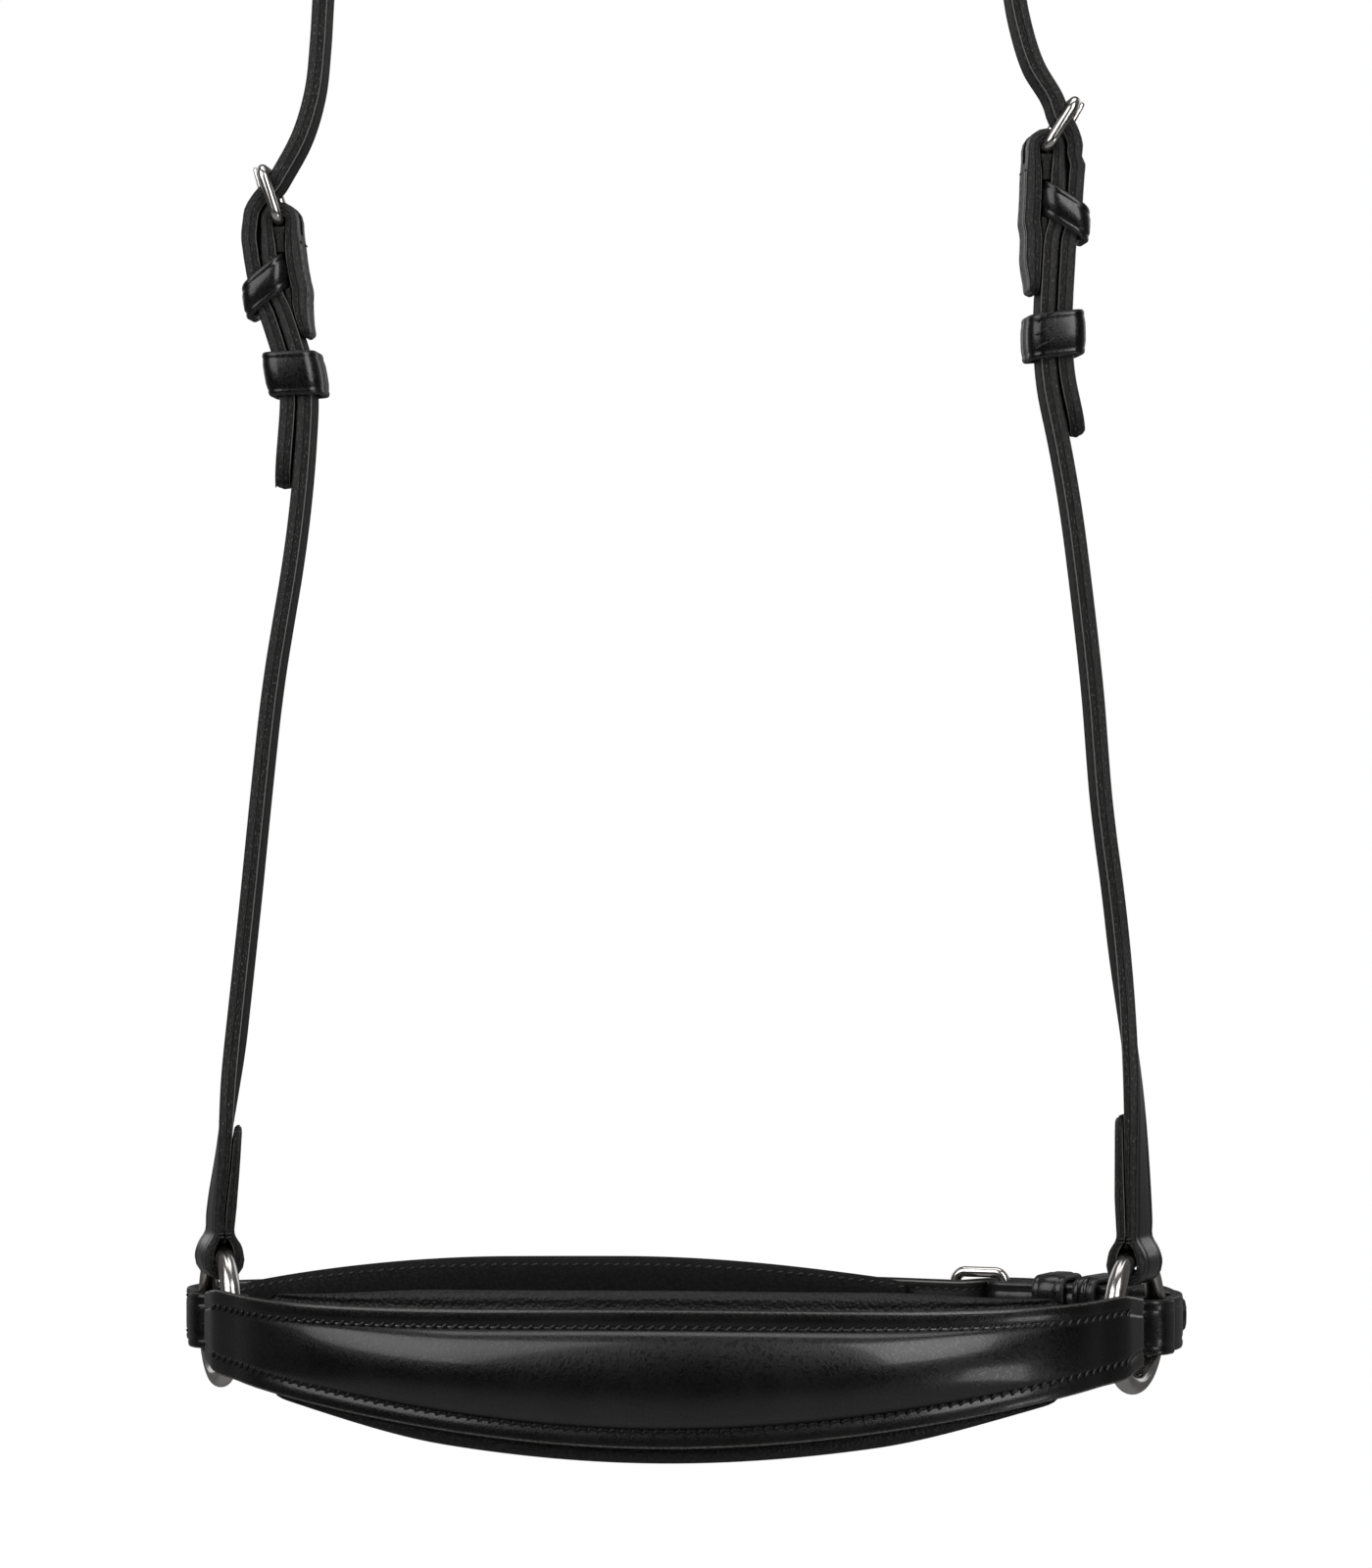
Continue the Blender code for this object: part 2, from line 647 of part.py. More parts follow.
def head_buckle_axes(side, line):
    """The bar's place and the frame's two directions, in the side's plane."""
    bar = line.at(line.length)[0]
    lean = FRAME_LEAN[side]
    along = Vector((math.sin(lean), math.cos(lean)))
    return bar, along, right_of(along)


def billet_stations(side, line, level_at, distances):
    """A billet from its tip, up outside the cheek strap and through the buckle."""
    drop = BILLET_DROP[side]
    runner_end = RUNNER_DROP[side] + RUNNER_HEIGHT / 2
    stations = []
    bar, along, outward = head_buckle_axes(side, line)
    crossed = crossing(bar, along, outward)
    for distance in distances:
        from_bar = line.length - distance
        if from_bar > drop or from_bar < HALF_WIDTH / 2:
            continue
        point, ahead = line.at(distance)
        out = right_of(ahead)
        flare = BILLET_FLARE[side] * ease((from_bar - runner_end) / (drop - runner_end))
        near_bar = SEAT_GAP * 2 * (1 - ease(from_bar / FIXED_KEEPER_DROP))
        level_here = level_at(distance) + LAYER_PITCH + flare + near_bar
        stations.append((point + out * level_here, out, 1, HALF_WIDTH))
    stations = tapered(stations, BILLET_TIP_LENGTH, BILLET_TIP_WIDTH_SHARE)
    stations += [(point, normal, 1, HALF_WIDTH) for point, normal in crossed]
    return stations


def head_route(side):
    """The head strap's route above a buckle, up to the poll."""
    return [Vector((SIDES[side] * RING_HALF_SPAN * across, between(CHEEK_RISE[side], CROWN_RISE, up)))
            for up, across in HEAD_ROUTE_SHARES[side]]


def head_strap(lines, finish_outer, finish_lining, parts, cutters):
    """One strap from the off billet, over the poll and down to the near billet."""
    ends = {}
    for side in SIDES:
        line, level_at, distances = lines[side]
        stations = billet_stations(side, line, level_at, distances)
        sign = SIDES[side]
        ends[side] = [(Vector((sign * p.x, p.y)), Vector((sign * n.x, n.y)), share, half)
                      for p, n, share, half in stations]
    crown_level = CROWN_RISE + INNER_FACE
    flat = RING_HALF_SPAN * CROWN_FLAT_SHARE
    route = [ends["off"][-2][0], ends["off"][-1][0]]
    route += head_route("off")
    route += [Vector((-flat, crown_level)), Vector((flat, crown_level))]
    route += reversed(head_route("near"))
    route += [ends["near"][-1][0], ends["near"][-2][0]]
    over = Line(smooth(route))
    first = (route[1] - route[0]).length
    stations = list(ends["off"])
    for step in range(1, HEAD_STATIONS):
        distance = between(first, over.length - first, step / HEAD_STATIONS)
        point, ahead = over.at(distance)
        stations.append((point, -right_of(ahead), 1, HALF_WIDTH))
    stations += list(reversed(ends["near"]))

    def on_crown(station):
        return abs(station[0].x) <= flat and station[0].y > CROWN_RISE - flat

    crown = next(index for index, station in enumerate(stations) if on_crown(station))
    stations = [station for station in stations if not on_crown(station)]
    stations[crown:crown] = [(Vector((x, crown_level)), Vector((0, 1)), 1, HALF_WIDTH) for x in (-flat, flat)]

    places = {side: upright(side) for side in SIDES}

    def place(point, across):
        if point.x < 0:
            return places["off"](Vector((-point.x, point.y)), across)
        return places["near"](point, across)

    outer = loft("head_strap", band(stations, SEAT_GAP / 2, OUTER_FACE, place, True), finish_outer, parts)
    lining = loft("head_lining", band(stations, -INNER_FACE, -SEAT_GAP / 2, place, False),
                  finish_lining, parts)
    for side in SIDES:
        line, level_at, distances = lines[side]
        for number, drop in enumerate(PUNCH_DISTANCES):
            distance = line.length - drop
            point, ahead = line.at(distance)
            out = right_of(ahead)
            spot = point + out * (level_at(distance) + LAYER_PITCH)
            centre = places[side](spot, 0)
            direction = places[side](spot + out, 0) - centre
            drill = cutter_drill(f"head_punch_{side}_{number}", centre, direction, PUNCH_RADIUS,
                                 LEATHER_DEPTH * 2, cutters)
            cut(outer, drill)
            cut(lining, drill)
    return outer, lining


def head_hardware(side, lines, straps, head, metal, leather, parts, cutters):
    line, level_at = lines[side][:2]
    place = upright(side)
    bar, along, outward = head_buckle_axes(side, line)
    frame = frame_at(bar, along, outward, place)
    buckle_frame("head_buckle_" + side, frame, metal, parts)
    tongue("head_tongue_" + side, frame, metal, parts)
    for piece in head:
        cut(piece, slot_in_billet(piece.name + "_slot_" + side, frame, cutters))
    strap_along = line.at(line.length)[1]
    fold_frame = frame_at(bar, strap_along, right_of(strap_along), place)
    for piece in straps:
        cut(piece, slot_in_fold(piece.name + "_slot", fold_frame, cutters))
    for kind, drop, height, room, shear in (
            ("upper_keeper_", FIXED_KEEPER_DROP, FIXED_KEEPER_HEIGHT, FIXED_KEEPER_ROOM,
             FIXED_KEEPER_SHEAR_SHARE),
            ("runner_keeper_", RUNNER_DROP[side], RUNNER_HEIGHT, RUNNER_ROOM[side], 0)):
        distance = line.length - drop
        spot = keeper_frame(line, distance, height, place)
        main = level_at(distance)
        low = main - INNER_FACE
        if kind == "upper_keeper_":
            low = main - INNER_FACE + room - SEAT_GAP
        high = main + LAYER_PITCH + OUTER_FACE
        keeper(kind + side, spot, low, high, height, room, -shear, leather, parts)


# Noseband
def nose_line():
    """From the centre of the near ring to the middle of the nose."""
    pull = Vector((-math.sin(RING_TURN), -math.cos(RING_TURN)))
    ring_centre = Vector((RING_HALF_SPAN, 0))
    start = ring_centre + pull * NOSE_LEAD
    lead = start + pull * bow_handle(NOSE_FRONT + start.y)
    whole = bezier(start, lead, Vector((-lead.x, lead.y)), Vector((-start.x, start.y)), NOSE_STEPS)
    half = [ring_centre + pull * NOSE_LEAD * step / LEAD_STEPS for step in range(LEAD_STEPS)]
    return Line(half + whole[:NOSE_STEPS // 2 + 1])


def bow_handle(depth):
    """The handle that makes a symmetric bezier bow out by a depth: its middle goes 3/4 of the way."""
    return depth * 4 / 3 / math.cos(RING_TURN)


def nose_drop(point):
    """How far the nosepiece hangs below the rings, by the place along x."""
    share = 1 - min(1, abs(point.x) / RING_HALF_SPAN) ** 2
    return between(NOSE_END_DROP, NOSE_MIDDLE_DROP, share)


def nose_half_height(distance, length):
    """Narrow in the ring, a little wider at its front, and widest in the middle."""
    end = between(NOSE_FOLD_HEIGHT, NOSE_END_HEIGHT, ease((distance - RING_RADIUS / 2) / RING_RADIUS))
    share = max(0, (distance - NOSE_LEAD) / (length - NOSE_LEAD))
    return between(end, NOSE_MIDDLE_HEIGHT, ease(share ** FULLNESS_POWER)) / 2


def nose_level(distance):
    """How far the nosepiece's back face stands from its line."""
    bend = RING_WIRE_RADIUS + NOSE_LOOP_ROOM
    return between(bend, SEAT_GAP / 2, ease((distance - RING_END) / THROAT_LENGTH))


def nose_raise(distance, length):
    return NOSE_RAISE * ease((distance - NOSE_RAISE_START) / (length * NOSE_RAISE_RUN_SHARE))


def nose_station(line, distance):
    """The point and the way out at a distance, exactly on the mirror plane at the end."""
    point, ahead = line.at(distance)
    if distance < line.length:
        return point, -right_of(ahead)
    return Vector((0, point.y)), Vector((0, -1))


def swell_share(share):
    """The raised centre's height across the nosepiece, from one row of stitches to the other."""
    return math.sqrt(1 - share * share) ** FULLNESS_POWER


def nose_section(point, normal, half, swell, place):
    """A sheet across the nose: its back face first, then its front face."""
    stitch = half - NOSE_MARGIN
    rows = [(-half, 0)]
    rows += [(stitch * share, swell * swell_share(share)) for share in SWELL_SHARES]
    rows += [(half, 0)]
    back = [place(point + normal * rise, across) for across, rise in rows]
    front = [place(point + normal * (rise + NOSE_THICK), across) for across, rise in reversed(rows)]
    return back + front


def mirrored(made):
    """The other half of a symmetric piece whose half is open at the middle."""
    step = made.modifiers.new("other_half", "MIRROR")
    step.use_axis = (True, False, False)
    step.use_clip = True
    step.merge_threshold = SEAT_GAP / 10
    return made


def open_loft(name, sections, finish, parts):
    """As loft, but left open at the last section, where the mirror plane is."""
    mesh = bmesh.new()
    rows = [[mesh.verts.new(point) for point in section] for section in sections]
    for first, second in zip(rows, rows[1:]):
        for index in range(len(first)):
            following = (index + 1) % len(first)
            mesh.faces.new((first[index], first[following], second[following], second[index]))
    mesh.faces.new(rows[0])
    bmesh.ops.recalc_face_normals(mesh, faces=mesh.faces)
    if mesh.calc_volume(signed=True) < 0:
        bmesh.ops.reverse_faces(mesh, faces=mesh.faces)
    return finish_mesh(name, mesh, finish, parts)


def pad_section(point, out, inset, run, end_half, full_half, thick, top, place):
    """A pad's outline across at an inset from its end: flat faces, round edges, a drawn-in tip."""
    tip = min(1, (inset + thick * PAD_TIP_SHARE) / thick)
    round_share = math.sqrt(1 - (1 - tip) ** 2)
    opening = math.sin(math.pi / 2 * min(1, inset / run))
    half = between(end_half, full_half, opening) * between(PAD_TIP_WIDTH_SHARE, 1, round_share)
    depth = thick * between(PAD_END_THICK_SHARE, 1, opening) * max(PAD_TIP_THICK_SHARE, round_share)
    section = []
    for step in range(PAD_SIDES):
        angle = math.tau * step / PAD_SIDES
        across = half * math.copysign(abs(math.cos(angle)) ** PAD_SIDE_POWER, math.cos(angle))
        rise = depth / 2 * math.copysign(abs(math.sin(angle)) ** PAD_FACE_POWER, math.sin(angle))
        section.append(place(point + out * (top - depth / 2 + rise), across))
    return section


def nosepiece(finish, filler_finish, pad_finish, parts):
    line = nose_line()
    place = level(nose_drop)
    length = line.length
    bend = RING_WIRE_RADIUS + NOSE_LOOP_ROOM
    hole = RING_HOLE - SEAT_GAP
    fold_half = NOSE_FOLD_HEIGHT / 2
    hole_reach = math.sqrt(hole ** 2 - (fold_half + NOSE_END_DROP) ** 2)
    seat = hole_reach + math.sqrt(bend ** 2 - RING_WIRE_RADIUS ** 2)

    near = spread(seat, NOSE_RAISE_START, THROAT_PITCH)
    far = spread(NOSE_RAISE_START, length, NOSE_PITCH)
    sections = []
    for distance in [NOSE_TAIL] + [d for d in reversed(near) if d < NOSE_TAIL]:
        point, out = nose_station(line, distance)
        share = ease((distance - RING_END) / THROAT_LENGTH)
        half = between(NOSE_FOLD_HEIGHT, NOSE_TAIL_HEIGHT, share) / 2
        sections.append(nose_section(point - out * nose_level(distance), -out, half, 0, place))
    point, out = nose_station(line, seat)
    ahead = right_of(out)
    for step in range(1, BEND_STEPS):
        angle = math.pi * step / BEND_STEPS
        normal = -out * math.cos(angle) - ahead * math.sin(angle)
        sections.append(nose_section(point + normal * bend, normal, fold_half, 0, place))
    for distance in near + far[1:]:
        point, out = nose_station(line, distance)
        half = nose_half_height(distance, length)
        swell = nose_raise(distance, length)
        sections.append(nose_section(point + out * nose_level(distance), out, half, swell, place))
    mirrored(open_loft("nosepiece_outer", sections, finish, parts))

    sections = []
    for distance in far:
        swell = nose_raise(distance, length)
        if swell < SEAT_GAP * 4:
            continue
        point, out = nose_station(line, distance)
        half = nose_half_height(distance, length) - NOSE_MARGIN
        base = point + out * nose_level(distance)
        inside = SWELL_SHARES[1:-1]
        rows = [(half * inside[0], 0), (half * inside[-1], 0)]
        rows += [(half * share, swell * swell_share(share) - SEAT_GAP) for share in reversed(inside)]
        sections.append([place(base + out * rise, across) for across, rise in rows])
    mirrored(open_loft("nosepiece_filler", sections, filler_finish, parts))

    sections = []
    for distance in spread(PAD_START, length, NOSE_PITCH):
        point, out = nose_station(line, distance)
        full_half = nose_half_height(distance, length) + PAD_OVERHANG
        sections.append(pad_section(point, out, distance - PAD_START, length * PAD_OPEN_SHARE,
                                    PAD_END_HEIGHT / 2, full_half, PAD_THICK, -SEAT_GAP, place))
    mirrored(open_loft("nosepiece_pad", sections, pad_finish, parts))


def jaw_line():
    """From the near ring's centre round behind the jaw to the off ring's centre."""
    pull = Vector((math.sin(RING_TURN), math.cos(RING_TURN)))
    ring_centre = Vector((RING_HALF_SPAN, 0))
    start = ring_centre + pull * JAW_LEAD
    lead = start + pull * bow_handle(JAW_BACK - start.y)
    whole = bezier(start, lead, Vector((-lead.x, lead.y)), Vector((-start.x, start.y)), JAW_STEPS)
    begin = [ring_centre + pull * JAW_LEAD * step / LEAD_STEPS for step in range(LEAD_STEPS)]
    return Line(begin + whole + [Vector((-p.x, p.y)) for p in reversed(begin)])


def jaw_drop(point):
    """How far the jaw strap hangs below the rings' centres: the same everywhere."""
    return JAW_DROP


def jaw_fold_level(from_ring):
    """How far a folded jaw strap's middle surface stands from its line, by the distance from a ring."""
    return between(ring_bend(JAW_LOOP_ROOM), PAIRED, ease((from_ring - RING_END) / THROAT_LENGTH))


def jaw_buckle_level(distance):
    """The same for the buckle strap, which is folded round the bar as well."""
    from_bar = between(BAR_BEND, PAIRED, ease((JAW_BAR - distance) / THROAT_LENGTH))
    return max(jaw_fold_level(distance), from_bar)


def jaw_buckle_strap(line, finish, place, parts):
    """One thick strap folded round the near ring and the bar, its ends butted on the inside."""
    def leg(distance, sign):
        point, ahead = line.at(distance)
        out = right_of(ahead) * sign
        from_ring = ease((distance - RING_END) / THROAT_LENGTH)
        from_bar = ease((JAW_BAR - distance - BUCKLE_WIRE_RADIUS) / THROAT_LENGTH * 2)
        share = between(FOLD_THICK_SHARE, 1, min(from_ring, from_bar))
        return (point + out * jaw_buckle_level(distance), out, share, HALF_WIDTH)

    legs = spread(JAW_SEAT, JAW_BAR, THROAT_PITCH)
    split = len(legs) // 2
    ring_point, ring_ahead = line.at(JAW_SEAT)
    bar, bar_ahead = line.at(JAW_BAR)
    stations = [leg(d, -1) for d in reversed(legs[:split])]
    stations += half_turn(ring_point, -right_of(ring_ahead), -ring_ahead, ring_bend(JAW_LOOP_ROOM))
    stations += [leg(d, 1) for d in legs]
    stations += half_turn(bar, right_of(bar_ahead), bar_ahead, BAR_BEND)
    stations += [leg(d, -1) for d in reversed(legs[split:])]
    sections = band(stations, -INNER_FACE, OUTER_FACE, place, True)
    return loft("jaw_buckle_strap", sections, finish, parts), legs


def jaw_strap_stations(line, legs):
    """The long strap from its billet tip, through the buckle and behind the jaw, to the off ring's fold."""
    stations = []
    for distance in legs:
        from_bar = JAW_BAR - distance
        if from_bar > JAW_BILLET or from_bar < HALF_WIDTH / 2:
            continue
        point, ahead = line.at(distance)
        out = right_of(ahead)
        near_bar = SEAT_GAP * 2 * (1 - ease(from_bar / FIXED_KEEPER_DROP))
        billet_level = jaw_buckle_level(distance) + LAYER_PITCH + near_bar
        stations.append((point + out * billet_level, out, 1, HALF_WIDTH))
    stations = tapered(stations, BILLET_TIP_LENGTH, BILLET_TIP_WIDTH_SHARE)

    bar, along = line.at(JAW_BAR)
    outward = right_of(along)
    crossed = crossing(bar, along, outward)
    stations += [(point, normal, 1, HALF_WIDTH) for point, normal in crossed]
    toe_level = (crossed[-1][0] - line.at(JAW_BAR + BUCKLE_LENGTH)[0]).dot(outward)
    off_throat = line.length - RING_END - THROAT_LENGTH
    joined = line.length - JAW_OFF_TAIL - THROAT_LENGTH / 2
    for distance in spread(JAW_AFTER_TOE, joined, JAW_PITCH) + spread(joined, off_throat, THROAT_PITCH)[1:]:
        point, ahead = line.at(distance)
        out = right_of(ahead)
        sunk = toe_level * (1 - ease((distance - JAW_AFTER_TOE) / JAW_PAD_END))
        lifted = PAIRED * ease((distance - joined) / THROAT_LENGTH + 1)
        stations.append((point + out * (sunk + lifted), out, 1, HALF_WIDTH))

    def fold(distance, sign):
        point, ahead = line.at(distance)
        out = right_of(ahead) * sign
        back = line.length - distance
        share = between(FOLD_THICK_SHARE, 1, ease((back - RING_END) / THROAT_LENGTH))
        return (point + out * jaw_fold_level(back), out, share, HALF_WIDTH)

    throat = spread(off_throat, line.length - JAW_SEAT, THROAT_PITCH)
    off_point, off_ahead = line.at(line.length - JAW_SEAT)
    stations += [fold(d, 1) for d in throat[1:]]
    stations += half_turn(off_point, right_of(off_ahead), off_ahead, ring_bend(JAW_LOOP_ROOM))
    tail = spread(line.length - JAW_OFF_TAIL, off_throat, THROAT_PITCH)[:-1] + throat
    stations += [fold(d, -1) for d in reversed(tail)]
    return stations


def jaw(finish_outer, finish_lining, pad_finish, metal, parts, cutters):
    line = jaw_line()
    place = level(jaw_drop)
    short, legs = jaw_buckle_strap(line, finish_outer, place, parts)
    bar, along = line.at(JAW_BAR)
    frame = frame_at(bar, along, right_of(along), place)
    buckle_frame("jaw_buckle", frame, metal, parts)
    tongue("jaw_tongue", frame, metal, parts)
    cut(short, slot_in_fold("jaw_buckle_strap_slot", frame, cutters))

    stations = jaw_strap_stations(line, legs)
    outer = loft("jaw_strap", band(stations, SEAT_GAP / 2, OUTER_FACE, place, True), finish_outer, parts)
    lining = loft("jaw_lining", band(stations, -INNER_FACE, -SEAT_GAP / 2, place, False),
                  finish_lining, parts)
    for piece in (outer, lining):
        cut(piece, slot_in_billet(piece.name + "_slot", frame, cutters))

    for name, drop, height, room in (
            ("jaw_fixed_keeper", JAW_FIXED_KEEPER, FIXED_KEEPER_HEIGHT, FIXED_KEEPER_ROOM),
            ("jaw_runner_keeper", JAW_RUNNER, JAW_RUNNER_HEIGHT, JAW_RUNNER_ROOM)):
        distance = JAW_BAR - drop
        spot = keeper_frame(line, distance, height, place)
        main = jaw_buckle_level(distance)
        keeper(name, spot, -main - OUTER_FACE, main + LAYER_PITCH + OUTER_FACE, height, room, 0,
               finish_outer, parts)

    first = JAW_AFTER_TOE + JAW_PAD_END
    last = line.length - JAW_PAD_START
    sections = []
    for distance in spread(first, last, NOSE_PITCH):
        point, ahead = line.at(distance)
        inset = min(distance - first, last - distance)
        sections.append(pad_section(point, right_of(ahead), inset, (last - first) * JAW_PAD_OPEN_SHARE,
                                    JAW_PAD_END_HEIGHT / 2, JAW_PAD_HEIGHT / 2, JAW_PAD_THICK,
                                    -INNER_FACE - SEAT_GAP, place))
    loft("jaw_pad", sections, pad_finish, parts)


def hang_on_rings(parts):
    """Everything that swings with the noseband hangs on one empty, on the line through both rings."""
    hinge = bpy.data.objects.new("noseband_hinge", None)
    hinge.location = (0, 0, -CROWN_RISE)
    parts.objects.link(hinge)
    for piece in parts.objects:
        if piece.name.startswith(("nosepiece", "jaw")):
            piece.parent = hinge
            piece.matrix_parent_inverse = Matrix.Translation((0, 0, CROWN_RISE))


def build():
    clear_scene()
    parts = collection("ringed_noseband")
    cutters = collection("cutters")
    leather = material("smooth_leather", (0.012, 0.012, 0.013), 0.32)
    lining = material("lining_leather", (0.020, 0.020, 0.021), 0.6)
    grained = material("grained_leather", (0.016, 0.016, 0.017), 0.55)
    felt = material("felt_filler", (0.05, 0.05, 0.05), 0.9)
    steel = material("stainless_steel", (0.62, 0.61, 0.60), 0.22, 1)

    lines, straps = {}, {}
    for side in SIDES:
        line, level_at, distances, outer, inner = cheek_strap(side, leather, lining, parts)
        lines[side] = (line, level_at, distances)
        straps[side] = (outer, inner)
    head = head_strap(lines, leather, lining, parts, cutters)
    for side in SIDES:
        ring("ring_" + side, SIDES[side], steel, parts)
        head_hardware(side, lines, straps[side], head, steel, leather, parts, cutters)
    nosepiece(leather, felt, grained, parts)
    jaw(leather, lining, grained, steel, parts, cutters)
    hang_on_rings(parts)


build()
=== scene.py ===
# %% [markdown]
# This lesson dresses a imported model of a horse's ringed noseband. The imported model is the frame: every
# strap, ring and buckle has its place there already. Here each plain solid gets the piece that shows in
# its place, with rounded leather edges, sewn rows, padding and polished steel.

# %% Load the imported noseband
import math

import bmesh
import bpy
from mathutils import Matrix, Vector


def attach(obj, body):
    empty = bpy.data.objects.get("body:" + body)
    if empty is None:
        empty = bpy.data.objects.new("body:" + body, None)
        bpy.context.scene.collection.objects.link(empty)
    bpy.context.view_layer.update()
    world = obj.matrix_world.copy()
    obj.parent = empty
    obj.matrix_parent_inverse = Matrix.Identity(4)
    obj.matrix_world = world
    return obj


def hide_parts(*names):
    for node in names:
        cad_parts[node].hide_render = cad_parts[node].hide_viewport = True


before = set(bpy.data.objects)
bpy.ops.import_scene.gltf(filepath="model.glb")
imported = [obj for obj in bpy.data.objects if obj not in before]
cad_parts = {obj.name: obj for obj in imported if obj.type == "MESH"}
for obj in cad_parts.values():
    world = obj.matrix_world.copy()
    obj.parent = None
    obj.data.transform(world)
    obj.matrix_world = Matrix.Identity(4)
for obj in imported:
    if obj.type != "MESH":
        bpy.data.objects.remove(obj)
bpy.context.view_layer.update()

# %% [markdown]
# The camera stands where the photographer stood: level with the middle of the cheek straps, a little
# to the near side, with a long lens, so that both cheek straps are seen edge on.

# %% Camera
VIEW_LEVEL = -0.374
VIEW_YAW = math.radians(4.2)
VIEW_DISTANCE = 1.40
VIEW_SHIFT = 0.003
LENS, SENSOR_WIDTH = 126, 36


def in_scene(name, data):
    made = bpy.data.objects.new(name, data)
    bpy.context.scene.collection.objects.link(made)
    return made


camera = in_scene("photographer", bpy.data.cameras.new("photographer"))
camera.data.lens, camera.data.sensor_width = LENS, SENSOR_WIDTH
camera.data.clip_start, camera.data.clip_end = 0.05, 60
forward = Vector((-math.sin(VIEW_YAW), math.cos(VIEW_YAW), 0))
sideways = Vector((math.cos(VIEW_YAW), math.sin(VIEW_YAW), 0))
camera.location = Vector((0, 0, VIEW_LEVEL)) - forward * VIEW_DISTANCE + sideways * VIEW_SHIFT
camera.rotation_euler = (math.pi / 2, 0, VIEW_YAW)
bpy.context.scene.camera = camera
bpy.context.scene.view_settings.view_transform = "Standard"
print("camera at", tuple(round(v, 3) for v in camera.location))

# %% [markdown]
# Shader maths reads best as plain expressions. A Value wraps a socket and turns + - * into Math nodes,
# and a Recipe makes every other node: its settings first, then its sockets.

# %% Shader helper
class Value:
    """What a socket gives, for use in expressions."""

    def __init__(self, recipe, socket):
        self.recipe, self.socket = recipe, socket

    def math(self, operation, first, second):
        return self.recipe.node("ShaderNodeMath", {"operation": operation}, {0: first, 1: second})

    def __add__(self, other):
        return self.math("ADD", self, other)

    def __sub__(self, other):
        return self.math("SUBTRACT", self, other)

    def __rsub__(self, other):
        return self.math("SUBTRACT", other, self)

    def __mul__(self, other):
        return self.math("MULTIPLY", self, other)

    __radd__ = __add__
    __rmul__ = __mul__

    def most(self, other):
        return self.math("MAXIMUM", self, other)

    def size(self):
        return self.math("ABSOLUTE", self, 0)

    def between(self, low, high):
        """0 at low, 1 at high, smooth in between."""
        sockets = {"Value": self, "From Min": low, "From Max": high}
        return self.recipe.node("ShaderNodeMapRange", {"interpolation_type": "SMOOTHSTEP"}, sockets)


class Recipe:
    """The node tree of a material, of the world or of a modifier."""

    def __init__(self, owner):
        self.owner = self.tree = owner
        if not isinstance(owner, bpy.types.NodeTree):
            owner.use_nodes = True
            self.tree = owner.node_tree
            self.tree.nodes.clear()

    def node(self, kind, settings, sockets, output=0):
        """A new node. Each socket gets a plain value, or a link from another node's Value."""
        made = self.tree.nodes.new(kind)
        for key, setting in settings.items():
            setattr(made, key, setting)
        for key, value in sockets.items():
            if isinstance(value, Value):
                self.tree.links.new(value.socket, made.inputs[key])
            else:
                made.inputs[key].default_value = value
        return Value(self, made.outputs[output]) if made.outputs else made

    def place(self, scale=(1, 1, 1)):
        """Places on the object, in metres."""
        spot = self.node("ShaderNodeTexCoord", {}, {}, "Object")
        return self.node("ShaderNodeMapping", {}, {"Vector": spot, "Scale": scale})

    def along_strap(self, scale=(1, 1, 1)):
        """Places on a strap: how far along, and how far round its section."""
        spot = self.node("ShaderNodeUVMap", {"uv_map": "Strap"}, {})
        return self.node("ShaderNodeMapping", {}, {"Vector": spot, "Scale": scale})

    def mark(self, name):
        return self.node("ShaderNodeAttribute", {"attribute_name": name}, {}, "Fac")

    def noise(self, place, scale, detail=3.0, roughness=0.55):
        sockets = {"Vector": place, "Scale": scale, "Detail": detail, "Roughness": roughness}
        return self.node("ShaderNodeTexNoise", {}, sockets)

    def fibres(self):
        """The ends of the fibres that a cut lays bare."""
        return self.noise(self.along_strap((1, 2.6, 1)), 1050, 4, 0.75)

    def pebbles(self, place, scale):
        sockets = {"Vector": place, "Scale": scale, "Smoothness": 0.35}
        return self.node("ShaderNodeTexVoronoi", {"feature": "SMOOTH_F1"}, sockets)

    def mix(self, share, first, second):
        return self.node("ShaderNodeMix", {"data_type": "RGBA"}, {"Factor": share, 6: first, 7: second}, 2)

    def bump(self, height, distance, strength=1.0):
        return self.node("ShaderNodeBump", {}, {"Height": height, "Distance": distance, "Strength": strength})

    def surface(self, sockets):
        shader = self.node("ShaderNodeBsdfPrincipled", {}, sockets)
        self.node("ShaderNodeOutputMaterial", {}, {"Surface": shader})
        return self.owner


def grey(level, warm=0.0):
    return (level * (1 + warm), level, level * (1 - warm), 1)


print("shader helper ready")
